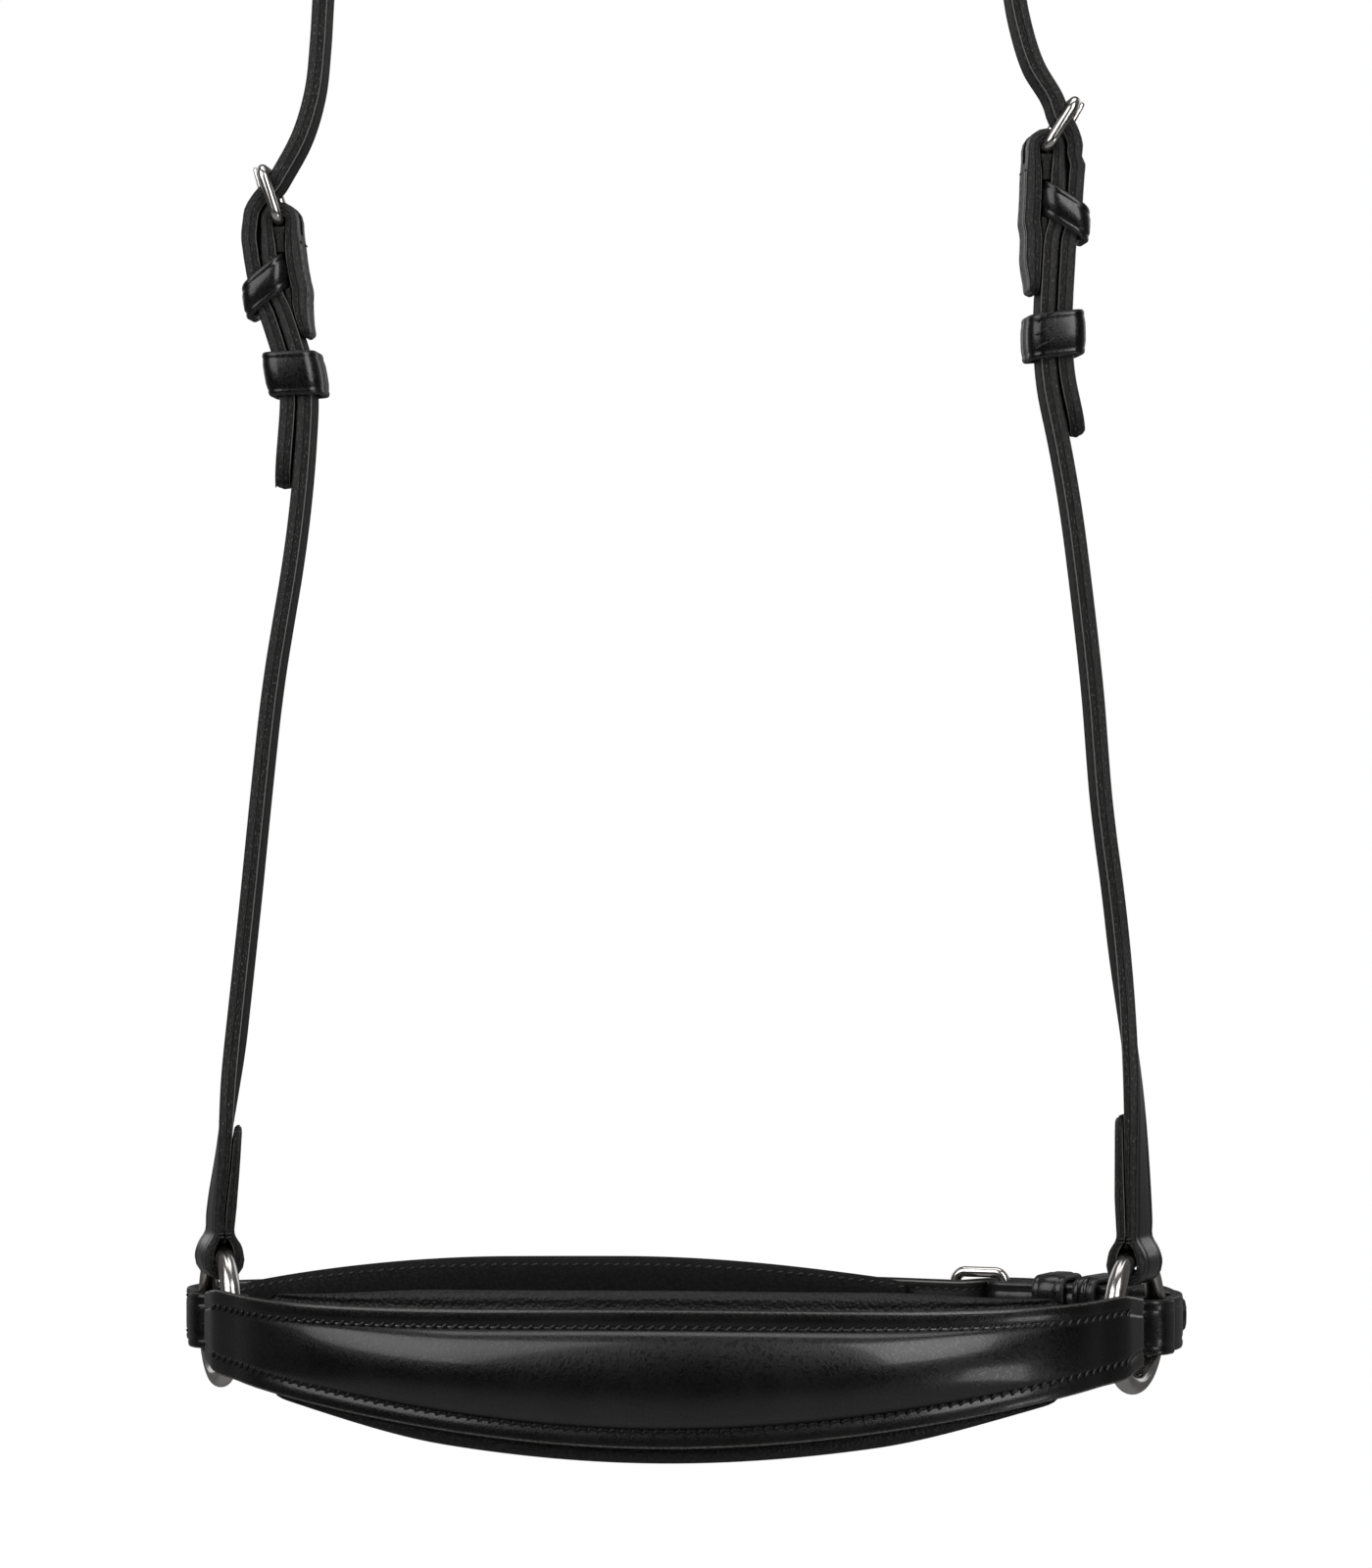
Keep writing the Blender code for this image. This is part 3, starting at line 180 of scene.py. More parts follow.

# %% [markdown]
# The outside of every strap is black bridle leather: dyed through, waxed and polished, so it has a hard
# shine over a faint grain, and fine wrinkles where it was stretched. Where it was cut, the edge is only
# burnished: duller and a little rough. The meshes carry three marks for this. "cut_edge" is the cut
# itself, "seam" is the dark line where two layers meet, and the third mark is the rounded corner, which
# is painted paler: partly dye worn off there, partly a painted highlight standing for the corner's shine.
# A mark stays with the leather wherever the strap bends.

# %% Edges and bridle leather
def edged(leather, face, fibres):
    """The colour of a face, its cut edge, its dark seam, and its rim: worn dye with a painted highlight."""
    cut, rim, seam = (leather.mark(name) for name in ("cut_edge", "rim", "seam"))
    edge = leather.mix(fibres.between(0.54, 0.70), grey(0.005, 0.04), grey(0.115, 0.04))
    # The rim is painted paler: a painted highlight for the rounded corner's shine, and dye worn off there.
    edge = leather.mix((rim * (0.30 + fibres)).between(0.42, 0.72), edge, grey(0.130, 0.04))
    edge = leather.mix(seam, edge, grey(0.002))
    return leather.mix(cut.most(rim).most(seam), face, edge)


def bridle_leather():
    leather = Recipe(bpy.data.materials.new("bridle_leather"))
    place = leather.place()
    grain = leather.pebbles(place, 2100)
    cloud = leather.noise(place, 46, 4)
    wrinkle = (leather.noise(place, 620, 5, 0.62) - 0.5).size().between(0, 0.10)
    fibres = leather.fibres()
    cut = leather.mark("cut_edge")
    face = leather.mix(cloud.between(0.35, 0.7), grey(0.0018, 0.03), grey(0.0042, 0.02))
    roughness = (0.20 + cloud * 0.12 + (1 - wrinkle) * 0.06) * (1 - cut) + cut * (0.36 + fibres * 0.25)
    height = (grain * 0.30 + wrinkle * 0.70) * (1 - cut) * 0.10 + cut * fibres * 1.5
    return leather.surface({"Base Color": edged(leather, face, fibres), "Roughness": roughness,
                            "Specular IOR Level": 0.38, "Coat Weight": (1 - cut) * 0.30,
                            "Coat Roughness": 0.12, "Normal": leather.bump(height, 0.00026, 0.8)})


bridle = bridle_leather()
print("made", bridle.name)

# %% [markdown]
# The lining is a thinner, unpolished leather, matt where it faces the horse. The pads are wrapped in soft
# grained leather, whose pebbles are about a millimetre across. The jaw pad is worn smoother than the
# nosepiece's, so the same recipe is used with its grain held back.

# %% Lining and grained leather
def lining_leather():
    leather = Recipe(bpy.data.materials.new("lining_leather"))
    place = leather.place()
    grain = leather.pebbles(place, 1700)
    cloud = leather.noise(place, 60, 4)
    fibres = leather.fibres()
    cut = leather.mark("cut_edge")
    face = leather.mix(cloud.between(0.3, 0.7), grey(0.0040, 0.03), grey(0.0075, 0.03))
    height = grain * 0.3 * (1 - cut) + cut * fibres * 1.5
    return leather.surface({"Base Color": edged(leather, face, fibres), "Roughness": 0.52 + cloud * 0.15,
                            "Specular IOR Level": 0.22, "Normal": leather.bump(height, 0.00024, 0.8)})


def grained_leather(name, depth, shine):
    leather = Recipe(bpy.data.materials.new(name))
    place = leather.place()
    pebble = leather.pebbles(place, 1150)
    fine = leather.noise(place, 4200, 3)
    cloud = leather.noise(place, 38, 4)
    # The grooves between the pebbles are painted darker than their tops: a painted shade that follows the
    # bump.
    colour = leather.mix(pebble.between(0.1, 0.75), grey(0.0045, 0.03), grey(0.0015, 0.03))
    gather = leather.noise(leather.along_strap((1, 0.16, 1)), 520, 3)
    height = (1 - pebble) * 0.75 * depth + gather * 0.9 * depth + fine * 0.15 + cloud * 0.3
    return leather.surface({"Base Color": colour, "Roughness": 0.38 + pebble * 0.16 + cloud * 0.08,
                            "Specular IOR Level": shine, "Normal": leather.bump(height, 0.00034, 0.9)})


lining = lining_leather()
grained = grained_leather("grained_leather", 1.0, 0.34)
worn_grained = grained_leather("worn_grained_leather", 0.35, 0.12)
print("made", lining.name, grained.name, worn_grained.name)

# %% [markdown]
# The thread is waxed and black, with a twist that catches small glints. The felt inside the raised
# nosepiece never shows, but it has its own finish. The rings and buckles are polished stainless steel,
# with the fine wear of a cloth in the roughness.

# %% Thread, felt and steel
def waxed_thread():
    thread = Recipe(bpy.data.materials.new("waxed_thread"))
    twist = thread.noise(thread.place(), 5200, 3)
    return thread.surface({"Base Color": thread.mix(twist.between(0.45, 0.7), grey(0.002), grey(0.010)),
                           "Roughness": 0.26 + twist * 0.2, "Specular IOR Level": 0.40,
                           "Normal": thread.bump(twist, 0.0001, 0.6)})


def pressed_felt():
    felt = Recipe(bpy.data.materials.new("pressed_felt"))
    hair = felt.noise(felt.place(), 1500, 5, 0.7)
    return felt.surface({"Base Color": felt.mix(hair, grey(0.03), grey(0.09)), "Roughness": 0.95,
                         "Normal": felt.bump(hair, 0.0004, 0.8)})


def polished_steel():
    steel = Recipe(bpy.data.materials.new("polished_steel"))
    rubbed = steel.noise(steel.place((1, 1, 0.16)), 900, 4, 0.6)
    cloud = steel.noise(steel.place(), 210, 4)
    colour = steel.mix(cloud.between(0.3, 0.7), grey(0.44, 0.045), grey(0.60, 0.03))
    return steel.surface({"Base Color": colour, "Metallic": 1.0,
                          "Roughness": 0.15 + rubbed.between(0.45, 0.8) * 0.10 + cloud * 0.06,
                          "Normal": steel.bump(rubbed + cloud * 0.6, 0.00004, 0.12)})


thread = waxed_thread()
felt = pressed_felt()
steel = polished_steel()
print("made", thread.name, felt.name, steel.name)

# %% [markdown]
# The straps follow flat lines: a cheek line on each side, a nose line in front and a jaw line behind, all
# of which start at the centre of a ring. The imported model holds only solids, so the lines' measures are
# written here once more, in metres, to give each detailed strap exactly the place of its solid.

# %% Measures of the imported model
OUTER_THICK, LINING_THICK, SEAT_GAP = 0.0021, 0.0017, 0.0003
STRAP_WIDTH, FOLD_THICK_SHARE = 0.014, 0.75
RING_FOLD_SHARE, RING_CLOSE_RUN, RING_SHARE_RUN = 0.62, 0.0035, 0.045
LOWER_TAIL_SHARES, UPPER_TAIL_SHARES = (0.50, 0.72, 0.030), (0.60, 1, 0.010)
RING_RADIUS, RING_WIRE_RADIUS, RING_HALF_SPAN = 0.01625, 0.0025, 0.117
RING_TURN = math.radians(20)
CROWN_RISE = 0.510
BUCKLE_WIRE_RADIUS, BUCKLE_LENGTH, BUCKLE_SIDE_ROOM, BUCKLE_CORNER = 0.0014, 0.0135, 0.0006, 0.0026
TONGUE_WIDTH, TONGUE_EYE_WALL, TONGUE_ROOT_THICK = 0.0024, 0.0013, 0.0020
TONGUE_TIP_THICK, TONGUE_OVERHANG = 0.0015, 0.0016
SLOT_SIDE_ROOM, SLOT_LIFT_ROOM = 0.0004, 0.0036
KEEPER_THICK, KEEPER_SIDE_ROOM, KEEPER_CORNER = 0.0016, 0.0005, 0.0034
FIXED_KEEPER_HEIGHT, FIXED_KEEPER_ROOM, FIXED_KEEPER_DROP = 0.0090, 0.0004, 0.0130
FIXED_KEEPER_SHEAR_SHARE, RUNNER_HEIGHT = 0.55, 0.0115
RUNNER_ROOM = {"near": 0.0015, "off": 0.0013}
CHEEK_RISE = {"near": 0.297, "off": 0.280}
CHEEK_LOWER_TAIL = {"near": 0.054, "off": 0.050}
CHEEK_UPPER_TAIL = {"near": 0.038, "off": 0.0336}
RUNNER_DROP = {"near": 0.048, "off": 0.040}
BILLET_DROP = {"near": 0.073, "off": 0.069}
BILLET_FLARE, BILLET_MORE = {"near": 0.0004, "off": 0.0003}, {"near": 0.0014, "off": 0.0010}
FRAME_LEAN = {"near": math.radians(32), "off": math.radians(18)}
THROAT_LENGTH, TWIST_START = 0.012, 0.01875
TWIST_END = {"near": 0.100, "off": 0.0725}
SIDE_TURN = {"near": math.radians(9), "off": 0}
SIDE_TURN_HUB_SHARE, SIDE_TURN_END_SHARES = 0.80, (0.16, 0.62)
BILLET_TIP_LENGTH = 0.011
BILLET_BENDS = (math.radians(72), math.radians(54))
BILLET_AFTER_TOE = math.radians(20)
PUNCH_RADIUS, PUNCH_DISTANCES = 0.0016, (0.0232, 0.0615)
CHEEK_ROUTE_SHARES = {
    "near": [(0, 1), (0.06, 1), (0.10, 0.998), (0.19, 0.981), (0.34, 0.944), (0.44, 0.912), (0.54, 0.891),
             (0.64, 0.862), (0.70, 0.841), (0.75, 0.818), (0.80, 0.793), (0.85, 0.786), (0.91, 0.793),
             (0.96, 0.801), (1, 0.802)],
    "off": [(0, 1), (0.06, 1), (0.10, 0.995), (0.18, 0.965), (0.36, 0.917), (0.467, 0.891), (0.575, 0.862),
            (0.683, 0.820), (0.745, 0.801), (0.80, 0.790), (0.845, 0.787), (0.88, 0.803), (0.925, 0.836),
            (0.963, 0.855), (1, 0.861)],
}
HEAD_ROUTE_SHARES = {
    "near": [(0.0997, 0.778), (0.162, 0.745), (0.2577, 0.722), (0.3775, 0.712), (0.5092, 0.7), (0.6408, 0.67),
             (0.7725, 0.6), (0.8851, 0.48), (0.9641, 0.31)],
    "off": [(0.0753, 0.835), (0.113, 0.8), (0.1685, 0.78), (0.2572, 0.768), (0.4013, 0.752), (0.5454, 0.725),
            (0.6674, 0.684), (0.7893, 0.605), (0.8936, 0.48), (0.9667, 0.31)],
}
CROWN_FLAT = RING_HALF_SPAN * 0.10
SEAM_ROOM, END_ROUNDING = 0.00001, 0.0006
LEATHER_DEPTH = OUTER_THICK + SEAT_GAP + LINING_THICK
LAYER_PITCH = LEATHER_DEPTH + SEAT_GAP
INNER_FACE = SEAT_GAP / 2 + LINING_THICK
OUTER_FACE = SEAT_GAP / 2 + OUTER_THICK
HALF_WIDTH = STRAP_WIDTH / 2
RING_END = RING_RADIUS + RING_WIRE_RADIUS
RING_HOLE = RING_RADIUS - RING_WIRE_RADIUS
RING_SEAT = math.sqrt(RING_HOLE ** 2 - HALF_WIDTH ** 2) + RING_WIRE_RADIUS
BAR_BEND = BUCKLE_WIRE_RADIUS + SEAT_GAP + INNER_FACE * FOLD_THICK_SHARE
PAIRED = INNER_FACE + SEAT_GAP / 2
LEG_PITCH, LONG_PITCH, TOP_PITCH, BUCKLE_PITCH = 0.0035, 0.0125, 0.0030, 0.0026
FINE_PITCH, TAIL_PITCH = 0.0016, 0.0012
SIDES = {"near": 1, "off": -1}
print("a strap of two layers is", round(LEATHER_DEPTH * 1000, 2), "mm thick")

# %% [markdown]
# A line is a smooth run of points in a plane that can be asked for the point and the direction at any
# distance. Stations are places along a strap: a point, the way out of the leather, how much of its full
# thickness it has there, and half its width.

# %% Lines and stations
def ease(value):
    value = min(1, max(0, value))
    return value * value * (3 - 2 * value)


def between(start, end, value):
    return start + (end - start) * value


def risen(share):
    """How far a quarter round has risen at a share of its run."""
    return math.sqrt(1 - (1 - share) ** 2)


def squared(value, power):
    """A cosine or a sine, bent towards its ends, which turns a round section into a squarer one."""
    return math.copysign(abs(value) ** power, value)


def full_turn(count, start=0):
    return [math.tau * (step + start) / count for step in range(count)]


def right_of(direction):
    return Vector((direction.y, -direction.x))


def spread(start, end, pitch):
    count = max(1, math.ceil(abs(end - start) / pitch))
    return [between(start, end, step / count) for step in range(count + 1)]


class Line:
    """A smooth line through points of a plane, measured by its length."""

    def __init__(self, points):
        self.points = points
        self.marks = [0]
        for first, second in zip(points, points[1:]):
            self.marks.append(self.marks[-1] + (second - first).length)
        self.length = self.marks[-1]

    def at(self, distance):
        """The point and the direction at a distance."""
        distance = min(self.length, max(0, distance))
        index = 0
        while index < len(self.marks) - 2 and self.marks[index + 1] < distance:
            index += 1
        share = (distance - self.marks[index]) / (self.marks[index + 1] - self.marks[index])
        point = self.points[index].lerp(self.points[index + 1], share)
        before = self.points[max(0, index - 1)]
        after = self.points[min(len(self.points) - 1, index + 2)]
        ahead = (self.points[index + 1] - before).lerp(after - self.points[index], share)
        return point, ahead.normalized()

    def beside(self, distance, away, share=1, sign=1):
        """A station to the right of the line, or to its left with a sign of -1."""
        point, ahead = self.at(distance)
        out = right_of(ahead) * sign
        return point + out * away, out, share, HALF_WIDTH

    def turned(self, distance, radius, share=FOLD_THICK_SHARE, sign=1):
        """Stations round a half circle that leads from one side of the line over to the other."""
        centre, ahead = self.at(distance)
        ways = [(right_of(ahead) * math.cos(math.pi * step / 8) + ahead * math.sin(math.pi * step / 8)) * sign
                for step in range(1, 8)]
        return [(centre + way * radius, way, share, HALF_WIDTH) for way in ways]


def smooth(points, steps=10):
    """Points of a Catmull-Rom curve through the given points."""
    padded = [points[0] * 2 - points[1], *points, points[-1] * 2 - points[-2]]
    curve = []
    for before, start, end, after in zip(padded, padded[1:], padded[2:], padded[3:]):
        for step in range(steps):
            t = step / steps
            curve.append(0.5 * (2 * start + (end - before) * t
                                + (2 * before - 5 * start + 4 * end - after) * t * t
                                + (3 * start - before - 3 * end + after) * t ** 3))
    return curve + [points[-1]]


def bezier(start, lead, trail, end, steps):
    return [start * (1 - t) ** 3 + lead * 3 * t * (1 - t) ** 2 + trail * 3 * t * t * (1 - t) + end * t ** 3
            for t in (step / steps for step in range(steps + 1))]


def refined(stations, pitch=FINE_PITCH):
    """Stations close together, on a smooth curve through the given ones."""
    points = [station[0] for station in stations]
    spans = [(second - first).length for first, second in zip(points, points[1:])]
    slopes = [(second - first) / span for first, second, span in zip(points, points[1:], spans)]
    tangents = [slopes[0]]
    for index in range(1, len(points) - 1):
        weight = spans[index] / (spans[index - 1] + spans[index])
        tangents.append(slopes[index - 1].lerp(slopes[index], 1 - weight))
    tangents.append(slopes[-1])
    fine = []
    for index, span in enumerate(spans):
        start, end = stations[index], stations[index + 1]
        count = max(1, math.ceil(span / pitch))
        for step in range(count):
            t = step / count
            point = (start[0] * (2 * t ** 3 - 3 * t * t + 1) + end[0] * (3 * t * t - 2 * t ** 3)
                     + tangents[index] * span * (t ** 3 - 2 * t * t + t)
                     + tangents[index + 1] * span * (t ** 3 - t * t))
            normal = start[1].lerp(end[1], t).normalized()
            fine.append((point, normal, between(start[2], end[2], t), between(start[3], end[3], t)))
    return fine + [stations[-1]]


def narrowed(stations, tip_length, tip_share):
    """The same stations, with the first ones drawn in to a rounded point."""
    start = stations[0][0]
    shaped = []
    for point, normal, share, half in stations:
        reach = min(1, (point - start).length / tip_length)
        shaped.append((point, normal, share, half * between(tip_share, 1, risen(reach))))
    return shaped


def rounded_tip(stations, thinnest=0.35):
    """The same stations, with an end that is thinned to a round."""
    first, second = stations[:2]
    close = []
    for step in (0, 0.10, 0.28, 0.55):
        thin = between(thinnest, 1, risen(step))
        close.append((first[0].lerp(second[0], step), first[1].lerp(second[1], step).normalized(),
                      between(first[2], second[2], step) * thin, between(first[3], second[3], step)))
    return close + stations[1:]


def other_way(stations):
    return list(reversed(stations))


print("line helpers ready")

# %% [markdown]
# Each plane of lines has its place in the world. The straps that hang from the head lie in an upright
# plane, and the lower end of each cheek strap twists with its ring. The noseband lies level, a little
# lower in its middle than at the rings.

# %% Planes
def upright(side):
    """One side's upright plane, x outwards, turned with the ring below and by its own turn above."""
    rise = CHEEK_RISE[side]
    start, end = SIDE_TURN_END_SHARES

    def place(point, across):
        above_ring = ease((point.y - TWIST_START) / (TWIST_END[side] - TWIST_START))
        way_up = (point.y - rise) / (CROWN_RISE - rise)
        side_turn = SIDE_TURN[side] * (1 - ease((way_up - start) / (end - start)))
        turn = Matrix.Rotation(between(-RING_TURN, side_turn, above_ring), 3, "Z")
        hub = Vector((RING_HALF_SPAN * between(1, SIDE_TURN_HUB_SHARE, above_ring), 0, 0))
        turned = hub + turn @ (Vector((point.x, across, point.y - CROWN_RISE)) - hub)
        return Vector((SIDES[side] * turned.x, turned.y, turned.z))
    return place


def level(drop):
    def place(point, across):
        return Vector((point.x, point.y, -CROWN_RISE - drop(point) + across))
    return place


def frame_at(origin, along, outward, place):
    """A frame with x along, y outward and z across, from a place in a plane."""
    base = place(origin, 0)
    x_axis = (place(origin + along * RING_WIRE_RADIUS, 0) - base).normalized()
    y_axis = place(origin + outward * RING_WIRE_RADIUS, 0) - base
    y_axis = (y_axis - x_axis * y_axis.dot(x_axis)).normalized()
    turned = Matrix((x_axis, y_axis, x_axis.cross(y_axis))).transposed().to_4x4()
    return Matrix.Translation(base) @ turned


print("planes ready")

# %% [markdown]
# The stations of the straps come next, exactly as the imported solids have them. A cheek strap is folded
# round its ring below and round its buckle's bar above, and the head strap's billet runs up outside it,
# over the bar and out under the toe of the buckle.

# %% Stations of the cheek straps
def cheek_line(side):
    return Line(smooth([Vector((RING_HALF_SPAN * across, CHEEK_RISE[side] * up))
                        for up, across in CHEEK_ROUTE_SHARES[side]]))


RING_BEND = RING_WIRE_RADIUS + SEAT_GAP + INNER_FACE * RING_FOLD_SHARE


def ring_share(from_ring):
    """How thick a strap is near its ring, where it was pared thin to fold."""
    return between(RING_FOLD_SHARE, 1, ease((from_ring - RING_END) / RING_SHARE_RUN))


def ring_level(from_ring):
    """A fold holds the wire tightly, and its two legs are sewn together right above it."""
    gap = between(RING_WIRE_RADIUS + SEAT_GAP, SEAT_GAP / 2,
                  ease((from_ring - RING_RADIUS - SEAT_GAP) / RING_CLOSE_RUN))
    return gap + INNER_FACE * ring_share(from_ring)


def leg_share(from_ring, from_bar, run):
    """How thick a folded strap is, which was pared at its ring and at its buckle's bar."""
    at_bar = between(FOLD_THICK_SHARE, 1, ease((from_bar - BUCKLE_WIRE_RADIUS) / run))
    return min(ring_share(from_ring), at_bar)


def pared(reach, end_share, full_share, run):
    """How thick a tail still is, at a reach from its end."""
    return between(end_share, full_share, ease(reach / run))


def cheek_level(line, distance):
    """How far a folded cheek strap's middle stands from its line."""
    keeper_pair = INNER_FACE + SEAT_GAP + KEEPER_THICK / 2
    from_bar = line.length - distance
    if distance < line.length / 2:
        return ring_level(distance)
    if from_bar < FIXED_KEEPER_DROP / 2:
        return between(BAR_BEND, keeper_pair, ease(from_bar / FIXED_KEEPER_DROP * 2))
    past_keeper = FIXED_KEEPER_DROP + FIXED_KEEPER_HEIGHT * 0.6
    return between(keeper_pair, PAIRED, ease((from_bar - past_keeper) / THROAT_LENGTH * 2.4))


def cheek_distances(side, line):
    length = line.length
    top_zone = length - BILLET_DROP[side]
    return (spread(RING_SEAT, TWIST_END[side], LEG_PITCH) + spread(TWIST_END[side], top_zone, LONG_PITCH)[1:]
            + spread(top_zone, length - FIXED_KEEPER_DROP, TOP_PITCH)[1:]
            + spread(length - FIXED_KEEPER_DROP, length, BUCKLE_PITCH)[1:])


def cheek_stations(side):
    line = cheek_line(side)
    distances = cheek_distances(side, line)

    def station(distance, sign, kept=1):
        share = leg_share(distance, line.length - distance, FIXED_KEEPER_DROP / 2)
        kept = min(share, kept)
        return line.beside(distance, cheek_level(line, distance) - INNER_FACE * (share - kept), kept, sign)

    def tail(wanted, shares):
        legs = [station(d, -1, pared(abs(d - wanted[0]), *shares)) for d in wanted]
        return rounded_tip(narrowed(refined(legs, TAIL_PITCH), THROAT_LENGTH / 2, 0.72))

    lower = tail([d for d in reversed(distances) if d <= CHEEK_LOWER_TAIL[side]], LOWER_TAIL_SHARES)
    upper = tail([d for d in distances if d >= line.length - CHEEK_UPPER_TAIL[side]], UPPER_TAIL_SHARES)
    upper.reverse()
    middle = (line.turned(RING_SEAT, RING_BEND, RING_FOLD_SHARE, -1) + [station(d, 1) for d in distances]
              + line.turned(line.length, BAR_BEND))
    return line, lower + refined([lower[-1], *middle, upper[0]])[1:-1] + upper


cheeks = {side: cheek_stations(side) for side in SIDES}
print("cheek straps:", {side: len(stations) for side, (line, stations) in cheeks.items()}, "stations")

# %% [markdown]
# The head strap's billet lies on the cheek strap and crosses its buckle: it passes outside the bar and
# inside the toe, like a crossed belt round two wheels. Between its billets the head strap runs up both
# sides of the head and over the crown.

# %% Stations of the head strap
HEAD_STEPS, BILLET_TIP_SHARE = 44, 0.12


def crossing(bar, along, outward):
    """A billet's way from outside the bar to inside the toe: a crossed belt round two circles."""
    bar_round = (BUCKLE_WIRE_RADIUS + SEAT_GAP + LEATHER_DEPTH * FOLD_THICK_SHARE + SEAT_GAP + INNER_FACE
                 + SEAT_GAP)
    toe_round = BUCKLE_WIRE_RADIUS + SEAT_GAP * 2 + OUTER_FACE
    lean = math.acos((bar_round + toe_round) / BUCKLE_LENGTH)
    normals = [along * math.cos(angle) + outward * math.sin(angle)
               for angle in (*BILLET_BENDS, lean, lean + BILLET_AFTER_TOE)]
    toe = bar + along * BUCKLE_LENGTH
    return ([(bar + normal * bar_round, normal, 1, HALF_WIDTH) for normal in normals[:3]]
            + [(toe - normal * toe_round, normal, 1, HALF_WIDTH) for normal in normals[2:]])


def head_buckle_axes(side, line):
    lean = FRAME_LEAN[side]
    along = Vector((math.sin(lean), math.cos(lean)))
    return line.at(line.length)[0], along, right_of(along)


def billet_rise(from_bar):
    """How far a billet lies above the strap that it is buckled to, a little more near the bar."""
    return LAYER_PITCH + SEAT_GAP * 2 * (1 - ease(from_bar / FIXED_KEEPER_DROP))


def billet_stations(side, line):
    drop = BILLET_DROP[side]
    runner_end = RUNNER_DROP[side] + RUNNER_HEIGHT / 2
    tip = line.length - drop - BILLET_MORE[side]
    stations = []
    for distance in [tip] + cheek_distances(side, line):
        from_bar = line.length - distance
        if HALF_WIDTH / 2 <= from_bar <= drop or distance == tip:
            flare = BILLET_FLARE[side] * ease((from_bar - runner_end) / (drop - runner_end))
            away = cheek_level(line, distance) + flare + billet_rise(from_bar)
            stations.append(line.beside(distance, away))
    return stations + crossing(*head_buckle_axes(side, line))


def head_stations():
    ends = {side: [(Vector((sign * p.x, p.y)), Vector((sign * n.x, n.y)), share, half)
                   for p, n, share, half in billet_stations(side, cheeks[side][0])]
            for side, sign in SIDES.items()}
    crown = CROWN_RISE + INNER_FACE

    def route_up(side):
        return [Vector((SIDES[side] * RING_HALF_SPAN * across, between(CHEEK_RISE[side], CROWN_RISE, up)))
                for up, across in HEAD_ROUTE_SHARES[side]]

    route = [ends["off"][-2][0], ends["off"][-1][0], *route_up("off"), Vector((-CROWN_FLAT, crown)),
             Vector((CROWN_FLAT, crown)), *reversed(route_up("near")), ends["near"][-1][0],
             ends["near"][-2][0]]
    over = Line(smooth(route))
    first = (route[1] - route[0]).length
    middle = []
    for step in range(1, HEAD_STEPS):
        point, ahead = over.at(between(first, over.length - first, step / HEAD_STEPS))
        middle.append((point, -right_of(ahead), 1, HALF_WIDTH))
    whole = refined([*ends["off"], *middle, *reversed(ends["near"])])
    for turn in range(2):
        whole = other_way(rounded_tip(narrowed(whole, BILLET_TIP_LENGTH, BILLET_TIP_SHARE)))
    return whole


head = head_stations()
print("head strap:", len(head), "stations")

# %% [markdown]
# The noseband is two curves between the rings: the nosepiece in front and the jaw strap behind. The jaw
# strap is buckled to a short strap on the near ring, in the same way as the head strap above.

# %% Stations of the noseband
NOSE_THICK, NOSE_MIDDLE_HEIGHT, NOSE_END_HEIGHT, NOSE_FOLD_HEIGHT = 0.0024, 0.0340, 0.0215, 0.0175
NOSE_LEAD, NOSE_FRONT, NOSE_LOOP_ROOM, NOSE_TAIL, NOSE_TAIL_HEIGHT = 0.025, 0.057, 0.0010, 0.036, 0.018
NOSE_RAISE, NOSE_RAISE_START, NOSE_RAISE_RUN_SHARE, NOSE_MARGIN = 0.0052, 0.032, 0.45, 0.0045
NOSE_END_DROP, NOSE_MIDDLE_DROP, FULLNESS_POWER = 0.0020, 0.0096, 0.8
PAD_START, PAD_OVERHANG, PAD_THICK, PAD_END_HEIGHT, PAD_OPEN_SHARE = 0.038, 0.0042, 0.0072, 0.0255, 0.36
JAW_LEAD, JAW_BACK, JAW_DROP = 0.023, 0.071, 0.0026
JAW_BAR, JAW_OFF_TAIL, JAW_BILLET = 0.088, 0.042, 0.051
JAW_FIXED_KEEPER, JAW_RUNNER, JAW_RUNNER_HEIGHT, JAW_RUNNER_ROOM = 0.0140, 0.0255, 0.0065, 0.0016
JAW_PAD_START, JAW_PAD_END, JAW_PAD_THICK, JAW_PAD_HEIGHT = 0.053, 0.018, 0.0065, 0.025
JAW_PAD_MORE, JAW_PAD_OPEN_SHARE = 0.009, 0.42
NOSE_PITCH, CORE_PITCH, JAW_PITCH, JAW_TAIL_SHARE = 0.0018, 0.003, 0.0090, 0.55
JAW_AFTER_TOE = JAW_BAR + BUCKLE_LENGTH + BUCKLE_WIRE_RADIUS * 2
JAW_SEAT = math.sqrt(RING_HOLE ** 2 - (HALF_WIDTH + JAW_DROP) ** 2) + RING_WIRE_RADIUS


def bowed_half(pull, lead_length, depth, steps):
    """A curve that leaves the near ring's centre along a pull and bows to a depth, up to the off side."""
    centre = Vector((RING_HALF_SPAN, 0))
    start = centre + pull * lead_length
    lead = start + pull * (depth - abs(start.y)) * 4 / 3 / math.cos(RING_TURN)
    whole = bezier(start, lead, Vector((-lead.x, lead.y)), Vector((-start.x, start.y)), steps)
    return [centre + pull * lead_length * step / 6 for step in range(6)], whole


def nose_line():
    begin, whole = bowed_half(Vector((-math.sin(RING_TURN), -math.cos(RING_TURN))), NOSE_LEAD, NOSE_FRONT, 60)
    return Line(begin + whole[:31])


